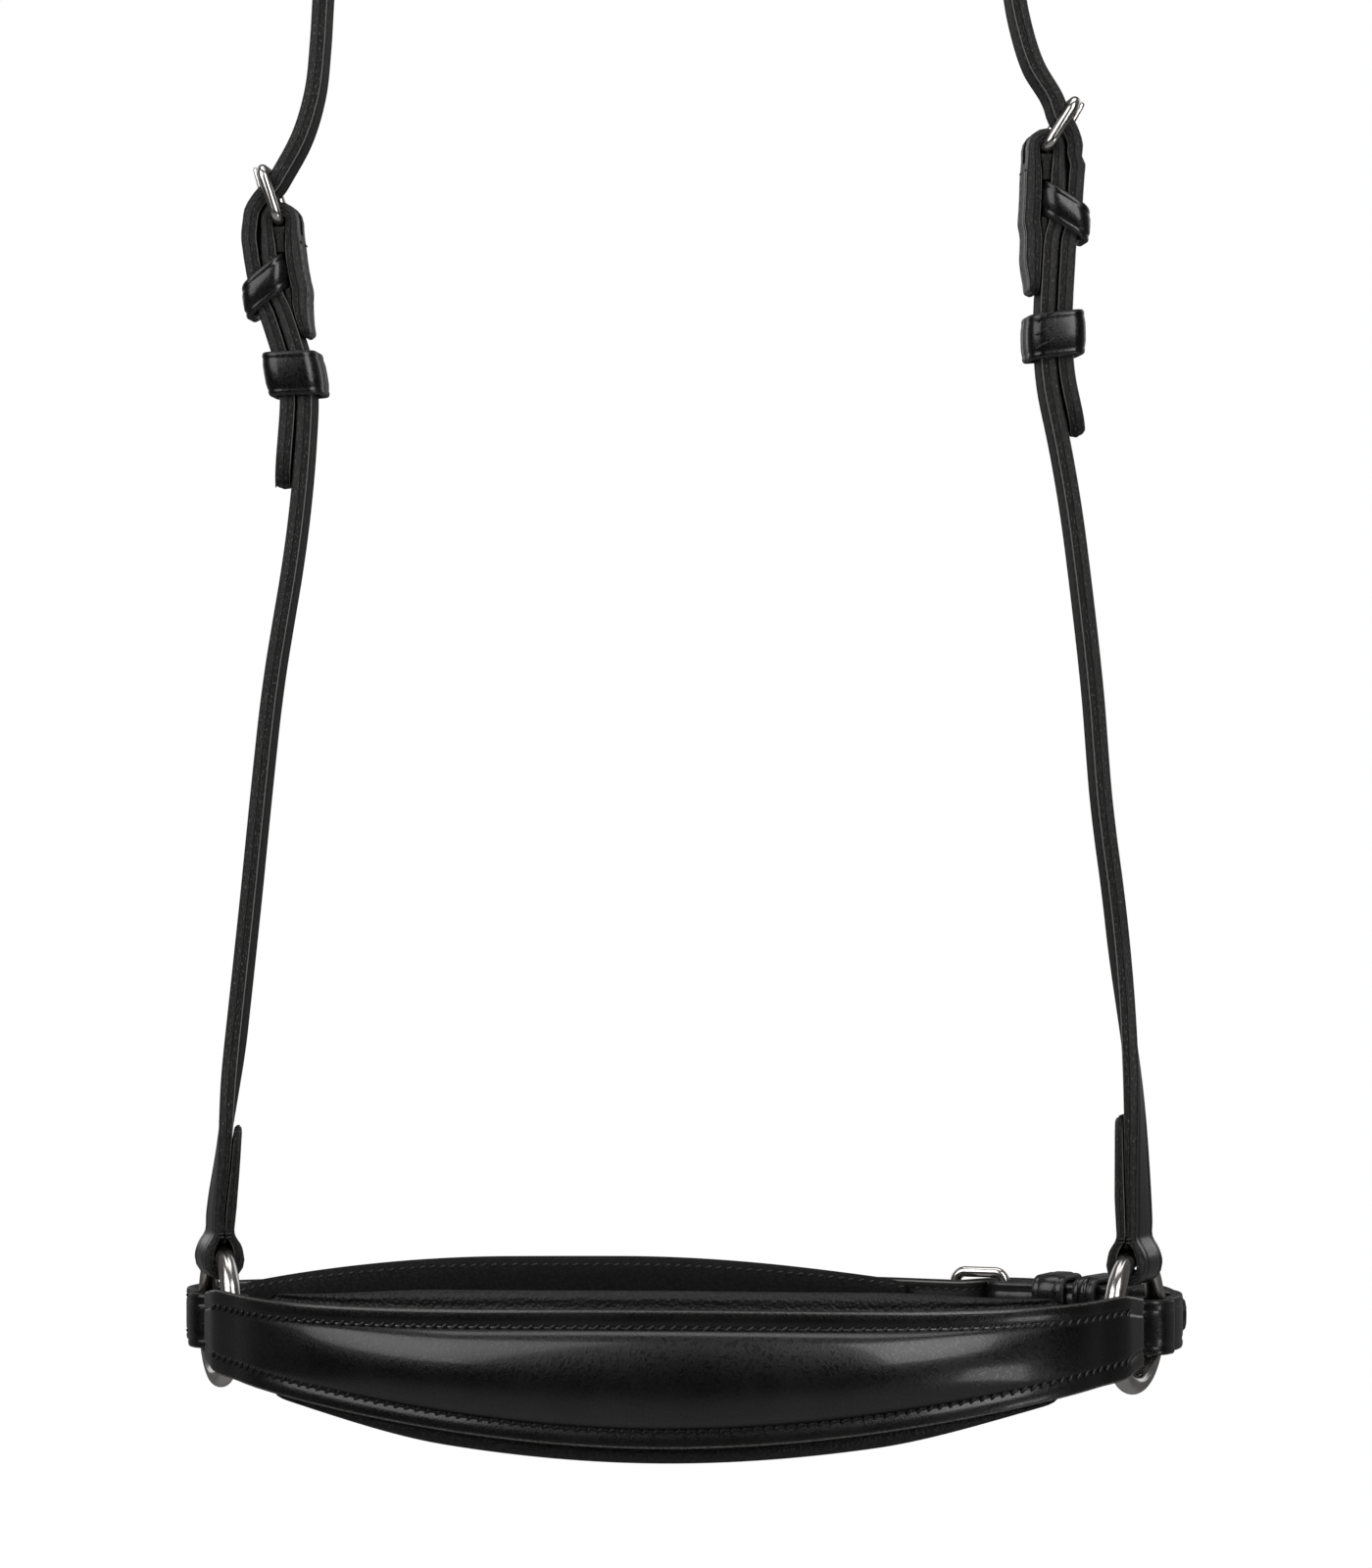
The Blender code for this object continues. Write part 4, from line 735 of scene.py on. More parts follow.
def jaw_line():
    begin, whole = bowed_half(Vector((math.sin(RING_TURN), math.cos(RING_TURN))), JAW_LEAD, JAW_BACK, 80)
    return Line(begin + whole + [Vector((-p.x, p.y)) for p in reversed(begin)])


def nose_drop(point):
    share = 1 - min(1, abs(point.x) / RING_HALF_SPAN) ** 2
    return between(NOSE_END_DROP, NOSE_MIDDLE_DROP, share)


def nose_half_height(distance, length):
    end = between(NOSE_FOLD_HEIGHT, NOSE_END_HEIGHT, ease((distance - RING_RADIUS / 2) / RING_RADIUS))
    share = max(0, (distance - NOSE_LEAD) / (length - NOSE_LEAD))
    return between(end, NOSE_MIDDLE_HEIGHT, ease(share ** FULLNESS_POWER)) / 2


def nose_level(distance):
    bend = RING_WIRE_RADIUS + NOSE_LOOP_ROOM
    return between(bend, SEAT_GAP / 2, ease((distance - RING_END) / THROAT_LENGTH))


def nose_raise(distance, length):
    return NOSE_RAISE * ease((distance - NOSE_RAISE_START) / (length * NOSE_RAISE_RUN_SHARE))


def jaw_buckle_level(distance):
    return max(ring_level(distance), between(BAR_BEND, PAIRED, ease((JAW_BAR - distance) / THROAT_LENGTH)))


def jaw_leg(line, distance, sign):
    share = leg_share(distance, JAW_BAR - distance, THROAT_LENGTH / 2)
    return line.beside(distance, jaw_buckle_level(distance), share, sign)


def jaw_buckle_stations(line, legs):
    split = len(legs) // 2
    stations = [jaw_leg(line, d, -1) for d in reversed(legs[:split])]
    stations += line.turned(JAW_SEAT, RING_BEND, RING_FOLD_SHARE, -1)
    stations += [jaw_leg(line, d, 1) for d in legs]
    stations += line.turned(JAW_BAR, BAR_BEND)
    return refined(stations + [jaw_leg(line, d, -1) for d in reversed(legs[split:])])


def jaw_strap_stations(line, legs):
    stations = [line.beside(d, jaw_buckle_level(d) + billet_rise(JAW_BAR - d)) for d in legs
                if HALF_WIDTH / 2 <= JAW_BAR - d <= JAW_BILLET]
    bar, along = line.at(JAW_BAR)
    stations += crossing(bar, along, right_of(along))
    toe_level = (stations[-1][0] - line.at(JAW_BAR + BUCKLE_LENGTH)[0]).dot(right_of(along))
    off_throat = line.length - RING_END - THROAT_LENGTH
    joined = line.length - JAW_OFF_TAIL - THROAT_LENGTH / 2
    for distance in spread(JAW_AFTER_TOE, joined, JAW_PITCH) + spread(joined, off_throat, LEG_PITCH)[1:]:
        sunk = toe_level * (1 - ease((distance - JAW_AFTER_TOE) / JAW_PAD_END))
        lifted = PAIRED * ease((distance - joined) / THROAT_LENGTH + 1)
        stations.append(line.beside(distance, sunk + lifted))

    def fold(distance, sign):
        back = line.length - distance
        return line.beside(distance, ring_level(back), ring_share(back), sign)

    throat = spread(off_throat, line.length - JAW_SEAT, LEG_PITCH)
    stations += [fold(d, 1) for d in throat[1:]]
    stations += line.turned(line.length - JAW_SEAT, RING_BEND, RING_FOLD_SHARE)
    tail = spread(line.length - JAW_OFF_TAIL, off_throat, LEG_PITCH)[:-1] + throat
    stations += [fold(d, -1) for d in reversed(tail)]
    whole = other_way(rounded_tip(narrowed(refined(stations), BILLET_TIP_LENGTH, BILLET_TIP_SHARE)))
    return other_way(rounded_tip(narrowed(whole, THROAT_LENGTH / 2, JAW_TAIL_SHARE)))


nose = nose_line()
jaw = jaw_line()
jaw_legs = spread(JAW_SEAT, JAW_BAR, LEG_PITCH)
jaw_short = jaw_buckle_stations(jaw, jaw_legs)
jaw_long = jaw_strap_stations(jaw, jaw_legs)
nose_place, jaw_place = level(nose_drop), level(lambda point: JAW_DROP)
print("jaw straps:", len(jaw_short), "and", len(jaw_long), "stations")

# %% [markdown]
# Every leather piece is a loft: a row of closed sections joined into one closed body. Its UV map holds the
# distance along and round the strap. Three smaller rows draw in each end, so that it is rounded off as a
# cut end is after burnishing.

# %% Loft helper
def middle_of(row):
    return sum(row, Vector()) / len(row)


def rounded_ends(rows, depth):
    def cap(first, second):
        centre = middle_of(first)
        away = (centre - middle_of(second)).normalized() * depth
        return [[centre + (point - centre) * size + away * push for point in first]
                for size, push in ((0.62, 1.0), (0.90, 0.72), (0.975, 0.34))]
    return cap(rows[0], rows[1]) + rows + list(reversed(cap(rows[-1], rows[-2])))


def lofted(name, rows, finish, marks=None, loop=False):
    columns, count = len(rows[0]), len(rows)
    centres = [middle_of(row) for row in rows]
    along = [0]
    for index in range(count):
        along.append(along[-1] + (centres[(index + 1) % count] - centres[index]).length)
    row = rows[count // 2]
    around = [0]
    for index in range(columns):
        around.append(around[-1] + (row[(index + 1) % columns] - row[index]).length)
    faces, places = [], []
    for first in range(count if loop else count - 1):
        second = (first + 1) % count
        for left in range(columns):
            right = (left + 1) % columns
            faces.append([first * columns + left, first * columns + right, second * columns + right,
                          second * columns + left])
            places += [(along[first], around[left]), (along[first], around[left + 1]),
                       (along[first + 1], around[left + 1]), (along[first + 1], around[left])]
    if not loop:
        for face in (list(range(columns)), [(count - 1) * columns + left for left in range(columns)]):
            faces.append(face)
            places += [(0, 0)] * columns
    data = bpy.data.meshes.new(name)
    data.from_pydata([tuple(point) for row in rows for point in row], [], faces)
    data.uv_layers.new(name="Strap").data.foreach_set("uv", [value for place in places for value in place])
    for mark, values in (marks or {}).items():
        data.attributes.new(mark, "FLOAT", "POINT").data.foreach_set("value", values * count)
    outward(data)
    return keep(name, data, finish)


def outward(data):
    mesh = bmesh.new()
    mesh.from_mesh(data)
    bmesh.ops.recalc_face_normals(mesh, faces=mesh.faces)
    if mesh.calc_volume(signed=True) < 0:
        bmesh.ops.reverse_faces(mesh, faces=mesh.faces)
    mesh.to_mesh(data)
    mesh.free()


def keep(name, data, finish):
    data.materials.append(finish)
    data.shade_smooth()
    return in_scene(name, data)


def applied(made):
    """The same object with its modifiers made part of its mesh."""
    graph = bpy.context.evaluated_depsgraph_get()
    data = bpy.data.meshes.new_from_object(made.evaluated_get(graph))
    made.modifiers.clear()
    made.data = data
    return made


def joined(name, pieces):
    """Several bodies of one material as one object."""
    mesh = bmesh.new()
    for piece in pieces:
        mesh.from_mesh(piece.data)
    data = pieces[0].data
    mesh.to_mesh(data)
    mesh.free()
    for piece in pieces[1:]:
        bpy.data.objects.remove(piece)
    pieces[0].name = name
    return pieces[0]


def dress(made, body, slot, *nodes):
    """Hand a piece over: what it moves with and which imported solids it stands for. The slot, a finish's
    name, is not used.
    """
    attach(made, body)
    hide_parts(*nodes)
    return made


print("loft helper ready")

# %% [markdown]
# A leather layer's section has a burnished round on its outer edge, a small one at the seam, and a
# pressed channel where its stitches lie. The outer leather and its lining touch at the seam, because
# they are glued before they are sewn.

# %% Leather layer
CHANNEL_INSET, EDGE_ROUND, FACE_ROOM = 0.0024, 0.00085, 0.00008
CHANNEL = ((-0.0009, 0.00003), (-0.0004, 0.00022), (0, 0.00034), (0.0004, 0.00022), (0.0008, 0.00004))


def layer_profile(back, face, wear_and_highlight_strength):
    """Half a section, from the middle of the back: (distance in from the edge, level, cut, seam, rim wear and
    highlight).
    """
    thick = abs(face - back)
    up = math.copysign(1, face - back)
    rows = [(HALF_WIDTH, 0, 0, 0, 0), (0.00040, 0, 0.5, 0.8, 0), (0.00012, 0.00001, 1, 0.8, 0),
            (0.00003, 0.00006, 1, 0.5, 0), (0, 0.00018, 1, 0, 0), (0, thick * 0.45, 1, 0, 0)]
    # The rounded corner's rim values paint it paler: a painted highlight for its shine, and dye worn off.
    for step, rim in enumerate((0, 0, 0.35, 1, 1, 0.25)):
        angle = math.pi / 2 * step / 5
        rise = thick - FACE_ROOM - EDGE_ROUND * (1 - math.sin(angle))
        rows.append((EDGE_ROUND * (1 - math.cos(angle)), rise, 1 if step < 3 else 0, 0, rim * wear_and_highlight_strength))
    rows += [(CHANNEL_INSET + across, thick - deep, 0, 0, 0) for across, deep in CHANNEL]
    rows += [(HALF_WIDTH * 0.62, thick, 0, 0, 0), (HALF_WIDTH, thick, 0, 0, 0)]
    return [(inset, back + up * rise, cut, seam, rim) for inset, rise, cut, seam, rim in rows]


def leather_layer(name, stations, back, face, place, finish):
    half_section = layer_profile(back, face, 1 if finish is lining else 0.55)
    section = [(1, *row) for row in half_section] + [(-1, *row) for row in reversed(half_section[1:-1])]
    rows = []
    for point, normal, share, half in stations:
        narrow = half / HALF_WIDTH
        rows.append([place(point + normal * rise * share, sign * (half - inset * narrow))
                     for sign, inset, rise, *edge in section])
    marks = {mark: [row[index] for row in section]
             for mark, index in (("cut_edge", 3), ("seam", 4), ("rim", 5))}
    return lofted(name, rounded_ends(rows, END_ROUNDING), finish, marks)


def tool_box(spot, low, high):
    mesh = bmesh.new()
    bmesh.ops.create_cube(mesh, size=1)
    placed = spot @ Matrix.Translation((low + high) / 2) @ Matrix.Diagonal((high - low).to_4d())
    bmesh.ops.transform(mesh, matrix=placed, verts=mesh.verts)
    return tool(mesh)


def tool_punch(centre, direction):
    mesh = bmesh.new()
    bmesh.ops.create_cone(mesh, cap_ends=True, segments=28, radius1=PUNCH_RADIUS, radius2=PUNCH_RADIUS,
                          depth=LEATHER_DEPTH * 2)
    turn = Vector((0, 0, 1)).rotation_difference(direction).to_matrix().to_4x4()
    bmesh.ops.transform(mesh, matrix=Matrix.Translation(centre) @ turn, verts=mesh.verts)
    return tool(mesh)


def tool(mesh):
    bmesh.ops.recalc_face_normals(mesh, faces=mesh.faces)
    data = bpy.data.meshes.new("tool")
    mesh.to_mesh(data)
    mesh.free()
    return in_scene("tool", data)


def cut(target, tools):
    for cutter in tools:
        step = target.modifiers.new("cut", "BOOLEAN")
        step.operation, step.solver, step.object = "DIFFERENCE", "EXACT", cutter
    return applied(target)


LAYERS = (("strap", SEAM_ROOM, OUTER_FACE, bridle, "smooth_leather"),
          ("lining", -SEAM_ROOM, -INNER_FACE, lining, "lining_leather"))


def strap_and_lining(start, end, stations, place, body, tools):
    """Both layers of a strap, with the holes that the tools cut through them."""
    for kind, back, face, finish, slot in LAYERS:
        made = cut(leather_layer("show_" + start + kind + end, stations, back, face, place, finish), tools)
        dress(made, body, slot, start + kind + end)
    for cutter in tools:
        bpy.data.objects.remove(cutter)


def billet_slot(spot):
    half = TONGUE_WIDTH / 2 + SLOT_SIDE_ROOM
    low = Vector((BUCKLE_WIRE_RADIUS + TONGUE_EYE_WALL + SEAT_GAP, BUCKLE_WIRE_RADIUS / 2, -half))
    high = Vector((BUCKLE_LENGTH, BUCKLE_WIRE_RADIUS + TONGUE_ROOT_THICK + SLOT_LIFT_ROOM, half))
    return tool_box(spot, low, high)


def fold_slot(spot):
    half = TONGUE_WIDTH / 2 + SLOT_SIDE_ROOM
    deep = BUCKLE_WIRE_RADIUS + TONGUE_EYE_WALL + SEAT_GAP * 3
    wide = BUCKLE_WIRE_RADIUS + LEATHER_DEPTH + SEAT_GAP * 4
    return tool_box(spot, Vector((-deep, -wide, -half)), Vector((wide, wide, half)))


print("leather helpers ready")

# %% [markdown]
# The cheek straps and the head strap are cut from the same bridle leather and lined. The tongue of each
# buckle comes through a slot in the fold and a slot in the billet, and the billets have punched holes.

# %% Cheek straps and head strap
bar_frames, punches = {}, []
for side in SIDES:
    line, stations = cheeks[side]
    bar, along, outward_way = head_buckle_axes(side, line)
    bar_frames[side] = frame_at(bar, along, outward_way, upright(side))
    strap_along = line.at(line.length)[1]
    fold_frame = frame_at(bar, strap_along, right_of(strap_along), upright(side))
    strap_and_lining("cheek_", "_" + side, stations, upright(side), "head_loop", [fold_slot(fold_frame)])
    for drop in PUNCH_DISTANCES:
        distance = line.length - drop
        spot, out = line.beside(distance, cheek_level(line, distance) + LAYER_PITCH)[:2]
        centre = upright(side)(spot, 0)
        punches.append(tool_punch(centre, upright(side)(spot + out, 0) - centre))

side_places = {side: upright(side) for side in SIDES}


def head_place(point, across):
    if point.x < 0:
        return side_places["off"](Vector((-point.x, point.y)), across)
    return side_places["near"](point, across)


slots = [billet_slot(spot) for spot in bar_frames.values()]
strap_and_lining("head_", "", head, head_place, "head_loop", punches + slots)
print("head strap and cheek straps dressed")

# %% [markdown]
# The two legs of an upper fold are kept apart by the keeper that is sewn in between them. Small packings
# of leather fill the rest of that room, above the keeper on both sides of the tongue's eye, and in a wedge
# below it, as they do on a real strap. A last one closes the throat above the ring.

# %% Fold packings
PACKING_PITCH, PACKING_ROUNDING, PACKING_INSET = 0.0006, 0.0002, 0.0003
EYE_START, EYE_END, WEDGE_END, THROAT_FILL = 0.0018, 0.0036, 0.0236, 0.0020
PACKING_TURNS = full_turn(24, 0.5)
KEEPER_HALF = FIXED_KEEPER_HEIGHT / 2 + SEAT_GAP


def packing(side, start, end, low, high):
    """Leather between the legs, over a run of the strap's line and a part of the strap's width."""
    line, place = cheeks[side][0], upright(side)
    rows = []
    for distance in spread(start, end, PACKING_PITCH):
        point, ahead = line.at(distance)
        share = leg_share(distance, line.length - distance, FIXED_KEEPER_DROP / 2)
        thick = max(SEAT_GAP / 3, cheek_level(line, distance) - INNER_FACE * share - SEAT_GAP / 3)
        rows.append([place(point + right_of(ahead) * thick * squared(math.sin(turn), 0.4),
                           between(low, high, 0.5 + 0.5 * squared(math.cos(turn), 0.3)))
                     for turn in PACKING_TURNS])
    marks = {"cut_edge": [1] * len(PACKING_TURNS)}
    return lofted("packing", rounded_ends(rows, PACKING_ROUNDING), lining, marks)


for side in SIDES:
    bar_end = cheeks[side][0].length
    wide, beside_eye = HALF_WIDTH - PACKING_INSET, TONGUE_WIDTH / 2 + SEAT_GAP
    pieces = [packing(side, bar_end - EYE_END, bar_end - FIXED_KEEPER_DROP + KEEPER_HALF, -wide, wide),
              packing(side, bar_end - EYE_START, bar_end - EYE_END, -wide, -beside_eye),
              packing(side, bar_end - EYE_START, bar_end - EYE_END, beside_eye, wide),
              packing(side, bar_end - FIXED_KEEPER_DROP - KEEPER_HALF, bar_end - WEDGE_END, -wide, wide),
              packing(side, RING_END + SEAT_GAP / 3, RING_END + THROAT_FILL, -wide, wide)]
    made = joined("fold_packings_" + side, pieces)
    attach(made, "head_loop")
print("fold packings made")

# %% [markdown]
# The jaw strap is made in the same way. The short strap on the near ring is one thick piece in the imported
# model, and its two leathers are drawn here.

# %% Jaw straps
bar, along = jaw.at(JAW_BAR)
bar_frames["jaw"] = frame_at(bar, along, right_of(along), jaw_place)
slot = fold_slot(bar_frames["jaw"])
halves = [cut(leather_layer("jaw_layer", jaw_short, back, face, jaw_place, bridle), [slot])
          for kind, back, face, finish, slot_name in LAYERS]
dress(joined("show_jaw_buckle_strap", halves), "noseband", "smooth_leather", "jaw_buckle_strap")
bpy.data.objects.remove(slot)
strap_and_lining("jaw_", "", jaw_long, jaw_place, "noseband", [billet_slot(bar_frames["jaw"])])
print("jaw straps dressed")

# %% [markdown]
# The nosepiece is one sheet of leather, pressed over a felt core. Two rows of stitches hold it down
# beside the core, in channels that the sewing pulls in, and both ends are turned round the rings. Its
# section is drawn here with those channels and with rounded edges.

# %% Nosepiece
NOSE_EDGE, LOOP_CHANNEL, NOSE_CHANNEL, NOSE_TIP_LENGTH = 0.0009, 0.0003, 0.0005, 0.005
nose_length = nose.length


def nose_spot(distance):
    point, ahead = nose.at(distance)
    if distance < nose_length:
        return point, -right_of(ahead)
    return Vector((0, point.y)), Vector((0, -1))


def swell_share(share):
    return max(0, 1 - share * share) ** 0.68


def nose_section(point, normal, half, swell, channel):
    """A closed section across the nosepiece: the back first, then the front, both from low to high."""
    stitch = half - NOSE_MARGIN
    shares = [math.sin(math.pi / 2 * step / 10) for step in range(-10, 11)]
    back = [(-half + NOSE_EDGE / 2, 0)] + [(stitch * s, swell * swell_share(s)) for s in shares]
    back += [(half - NOSE_EDGE / 2, 0)]
    wall = [(half - NOSE_EDGE * 0.1, 0.0002, 1), (half, NOSE_THICK * 0.4, 1)]
    for step in range(5):
        angle = math.pi / 2 * step / 4
        wall.append((half - NOSE_EDGE * (1 - math.cos(angle)), NOSE_THICK - NOSE_EDGE * (1 - math.sin(angle)),
                     1 - step / 3 if step < 3 else 0))
    margin = [(half - NOSE_MARGIN * share, NOSE_THICK - channel * deep)
              for share, deep in ((0.45, 0), (0.70, 0.15), (0.86, 0.75))]
    front = [(stitch * s, NOSE_THICK + swell * swell_share(s) - channel * max(0, 1 - (1 - abs(s)) * 5) ** 2)
             for s in reversed(shares)]
    # These rim values paint the rounded edge paler: a painted highlight along the polished edge, and worn
    # dye.
    wear_and_highlight_strength = [0, 0, 0, 0.3, 0.75, 0.6, 0.1]
    wall = [(*row, rim) for row, rim in zip(wall, wear_and_highlight_strength)]
    outline = [(across, rise, 0, 0) for across, rise in back]
    outline += wall
    outline += [(across, rise, 0, 0) for across, rise in margin + front]
    outline += [(-across, rise, 0, 0) for across, rise in reversed(margin)]
    outline += [(-across, rise, edge, rim) for across, rise, edge, rim in reversed(wall)]
    row = [nose_place(point + normal * rise, across) for across, rise, edge, rim in outline]
    return row, [edge for across, rise, edge, rim in outline], [rim for across, rise, edge, rim in outline]


def mirrored_rows(half_rows):
    return half_rows + [[Vector((-p.x, p.y, p.z)) for p in row] for row in reversed(half_rows[:-1])]


def nose_sections():
    bend = RING_WIRE_RADIUS + NOSE_LOOP_ROOM
    hole = RING_HOLE - SEAT_GAP
    fold_half = NOSE_FOLD_HEIGHT / 2
    reach = math.sqrt(hole ** 2 - (fold_half + NOSE_END_DROP) ** 2)
    seat = reach + math.sqrt(bend ** 2 - RING_WIRE_RADIUS ** 2)
    sections = []
    for distance in spread(NOSE_TAIL, seat, FINE_PITCH)[:-1]:
        point, out = nose_spot(distance)
        half = between(NOSE_FOLD_HEIGHT, NOSE_TAIL_HEIGHT, ease((distance - RING_END) / THROAT_LENGTH)) / 2
        from_tip = min(1, (NOSE_TAIL - distance) / NOSE_TIP_LENGTH)
        half *= between(0.72, 1, risen(from_tip))
        sections.append(nose_section(point - out * nose_level(distance), -out, half, 0, LOOP_CHANNEL))
    point, out = nose_spot(seat)
    for step in range(25):
        angle = math.pi * step / 24
        normal = -out * math.cos(angle) - right_of(out) * math.sin(angle)
        sections.append(nose_section(point + normal * bend, normal, fold_half, 0, LOOP_CHANNEL))
    for distance in spread(seat, nose_length, NOSE_PITCH)[1:]:
        point, out = nose_spot(distance)
        swell = nose_raise(distance, nose_length)
        half = nose_half_height(distance, nose_length)
        sections.append(nose_section(point + out * nose_level(distance), out, half, swell, NOSE_CHANNEL))
    return sections


sections = nose_sections()
rows = rounded_ends(mirrored_rows([section[0] for section in sections]), END_ROUNDING)
nosepiece = lofted("show_nosepiece", rows, bridle, {"cut_edge": sections[0][1], "rim": sections[0][2]})
dress(nosepiece, "noseband", "smooth_leather", "nosepiece_outer")
print("nosepiece:", len(nosepiece.data.polygons), "faces")

# %% [markdown]
# The felt core lies inside the raised part, and the pad lies behind both. The pad is foam in a wrap of
# soft grained leather. It shows above and below the nosepiece as a soft roll, with a groove where the
# nosepiece's edge is sewn down on it.

# %% Core and pads
PAD_GROOVE_DEPTH, PAD_GROOVE_WIDTH, PAD_COLUMNS = 0.0012, 0.0007, 56


def pad_row(point, out, inset, run, end_half, full_half, thick, top, place, groove):
    tip = min(1, (inset + thick * 0.08) / thick)
    round_share = risen(tip)
    opening = math.sin(math.pi / 2 * min(1, inset / run))
    half = between(end_half, full_half, opening) * between(0.72, 1, round_share)
    depth = thick * between(0.55, 1, opening) * max(0.2, round_share)
    row = []
    for angle in full_turn(PAD_COLUMNS):
        across = half * squared(math.cos(angle), 0.75)
        rise = depth / 2 * squared(math.sin(angle), 0.6)
        if groove and math.sin(angle) > 0:
            rise -= PAD_GROOVE_DEPTH * math.exp(-((abs(across) - groove) / PAD_GROOVE_WIDTH) ** 2)
        row.append(place(point + out * (top - depth / 2 + rise), across))
    return row


def core_row(distance):
    point, out = nose_spot(distance)
    half = nose_half_height(distance, nose_length) - NOSE_MARGIN
    base = point + out * nose_level(distance)
    inside = [math.sin(math.pi / 2 * step / 10) for step in range(-9, 10)]
    swell = nose_raise(distance, nose_length)
    rows = [(half * share, 0) for share in inside]
    rows += [(half * share, swell * swell_share(share) - SEAT_GAP) for share in reversed(inside)]
    return [nose_place(base + out * rise, across) for across, rise in rows]


core_rows = [core_row(d) for d in spread(NOSE_RAISE_START, nose_length, CORE_PITCH)
             if nose_raise(d, nose_length) >= SEAT_GAP * 4]
core = lofted("show_nosepiece_core", mirrored_rows(core_rows), felt)
dress(core, "noseband", "felt_filler", "nosepiece_filler")

rows = []
for distance in spread(PAD_START, nose_length, NOSE_PITCH):
    point, out = nose_spot(distance)
    half = nose_half_height(distance, nose_length)
    rows.append(pad_row(point, out, distance - PAD_START, nose_length * PAD_OPEN_SHARE, PAD_END_HEIGHT / 2,
                        half + PAD_OVERHANG, PAD_THICK, -SEAT_GAP, nose_place, half + 0.0003))
nose_pad = lofted("show_nosepiece_pad", mirrored_rows(rows), grained)
dress(nose_pad, "noseband", "grained_leather", "nosepiece_pad")

toe_level = -BUCKLE_WIRE_RADIUS - SEAT_GAP * 2 - OUTER_FACE
first = JAW_AFTER_TOE + JAW_PAD_END - JAW_PAD_MORE
last = jaw.length - JAW_PAD_START + JAW_PAD_MORE
jaw_pad_rows = []
for distance in spread(first, last, NOSE_PITCH):
    point, ahead = jaw.at(distance)
    sunk = toe_level * (1 - ease((distance - JAW_AFTER_TOE) / JAW_PAD_END))
    jaw_pad_rows.append(pad_row(point, right_of(ahead), min(distance - first, last - distance),
                                (last - first) * JAW_PAD_OPEN_SHARE, HALF_WIDTH * 0.92, JAW_PAD_HEIGHT / 2,
                                JAW_PAD_THICK, sunk - INNER_FACE - SEAT_GAP, jaw_place, 0))
jaw_pad = lofted("show_jaw_pad", jaw_pad_rows, worn_grained)
dress(jaw_pad, "noseband", "grained_leather", "jaw_pad")
print("pads:", len(nose_pad.data.polygons), len(jaw_pad.data.polygons), "faces")

# %% [markdown]
# A keeper is a narrow band of the same leather, bent round the straps and butted on their inside. Its
# rims are bevelled and creased. The upper keepers are sewn in, so they stand a little slanted, and the
# runners slide.

# %% Keepers
BUTT_GAP, BUTT_RUN = 0.00009, 0.0006


def loop_corners(low, high, half, radius, turn=1):
    """The corners of a rounded rectangle, each as nine points with their ways out."""
    corners = []
    for index, (x, y) in enumerate([(low, half), (high, half), (high, -half), (low, -half)]):
        inward = Vector((1 if x == low else -1, -math.copysign(1, y) * turn))
        centre = Vector((x, y * turn)) + inward * radius
        angles = [math.pi / 2 * (index + step / 8) for step in range(9)]
        ways = [Vector((-math.cos(angle), math.sin(angle) * turn)) for angle in angles]
        corners.append([(centre + way * radius, way) for way in ways])
    return corners


def keeper(name, spot, low, high, height, room, shear=0):
    """A band round the straps: its butt seam is in the middle of its low side."""
    half = HALF_WIDTH + KEEPER_SIDE_ROOM + KEEPER_THICK / 2
    left, right = low - room - KEEPER_THICK / 2, high + room + KEEPER_THICK / 2
    path = [(Vector((left, BUTT_GAP)), Vector((-1, 0))), (Vector((left, BUTT_RUN)), Vector((-1, 0)))]
    for corner in loop_corners(left, right, half, KEEPER_CORNER):
        path += corner
    path += [(Vector((left, -BUTT_RUN)), Vector((-1, 0))), (Vector((left, -BUTT_GAP)), Vector((-1, 0)))]
    thick, tall = KEEPER_THICK / 2, height / 2
    side_points = [(-thick, tall - 0.0003, 0), (-thick + 0.0002, tall - 0.00005, 1), (0, tall, 1),
                   (thick - 0.0005, tall - 0.0001, 1), (thick - 0.0002, tall - 0.0004, 0.4),
                   (thick - 0.00004, tall - 0.0009, 0), (thick - 0.00003, tall - 0.0013, 0),
                   (thick - 0.00010, tall - 0.0016, 0), (thick, tall - 0.0021, 0),
                   (thick + 0.00022, tall * 0.4, 0), (thick + 0.00026, 0, 0)]
    section = side_points + [(out, -along, edge) for out, along, edge in reversed(side_points[:-1])]
    rows = []
    for index, (point, way) in enumerate(path):
        pinch = 0.75 if index in (0, len(path) - 1) else 1
        row = []
        for out, along, edge in section:
            flat = point + way * out * pinch
            row.append(spot @ Vector((along - shear * flat.x, flat.x, flat.y)))
        rows.append(row)
    return lofted(name, rows, bridle, {"cut_edge": [edge for out, along, edge in section]})


def keeper_spot(line, distance, height, place):
    low, high = line.at(distance - height / 2)[0], line.at(distance + height / 2)[0]
    ahead = (high - low).normalized()
    return frame_at(((low + high) / 2 + line.at(distance)[0]) / 2, ahead, right_of(ahead), place)


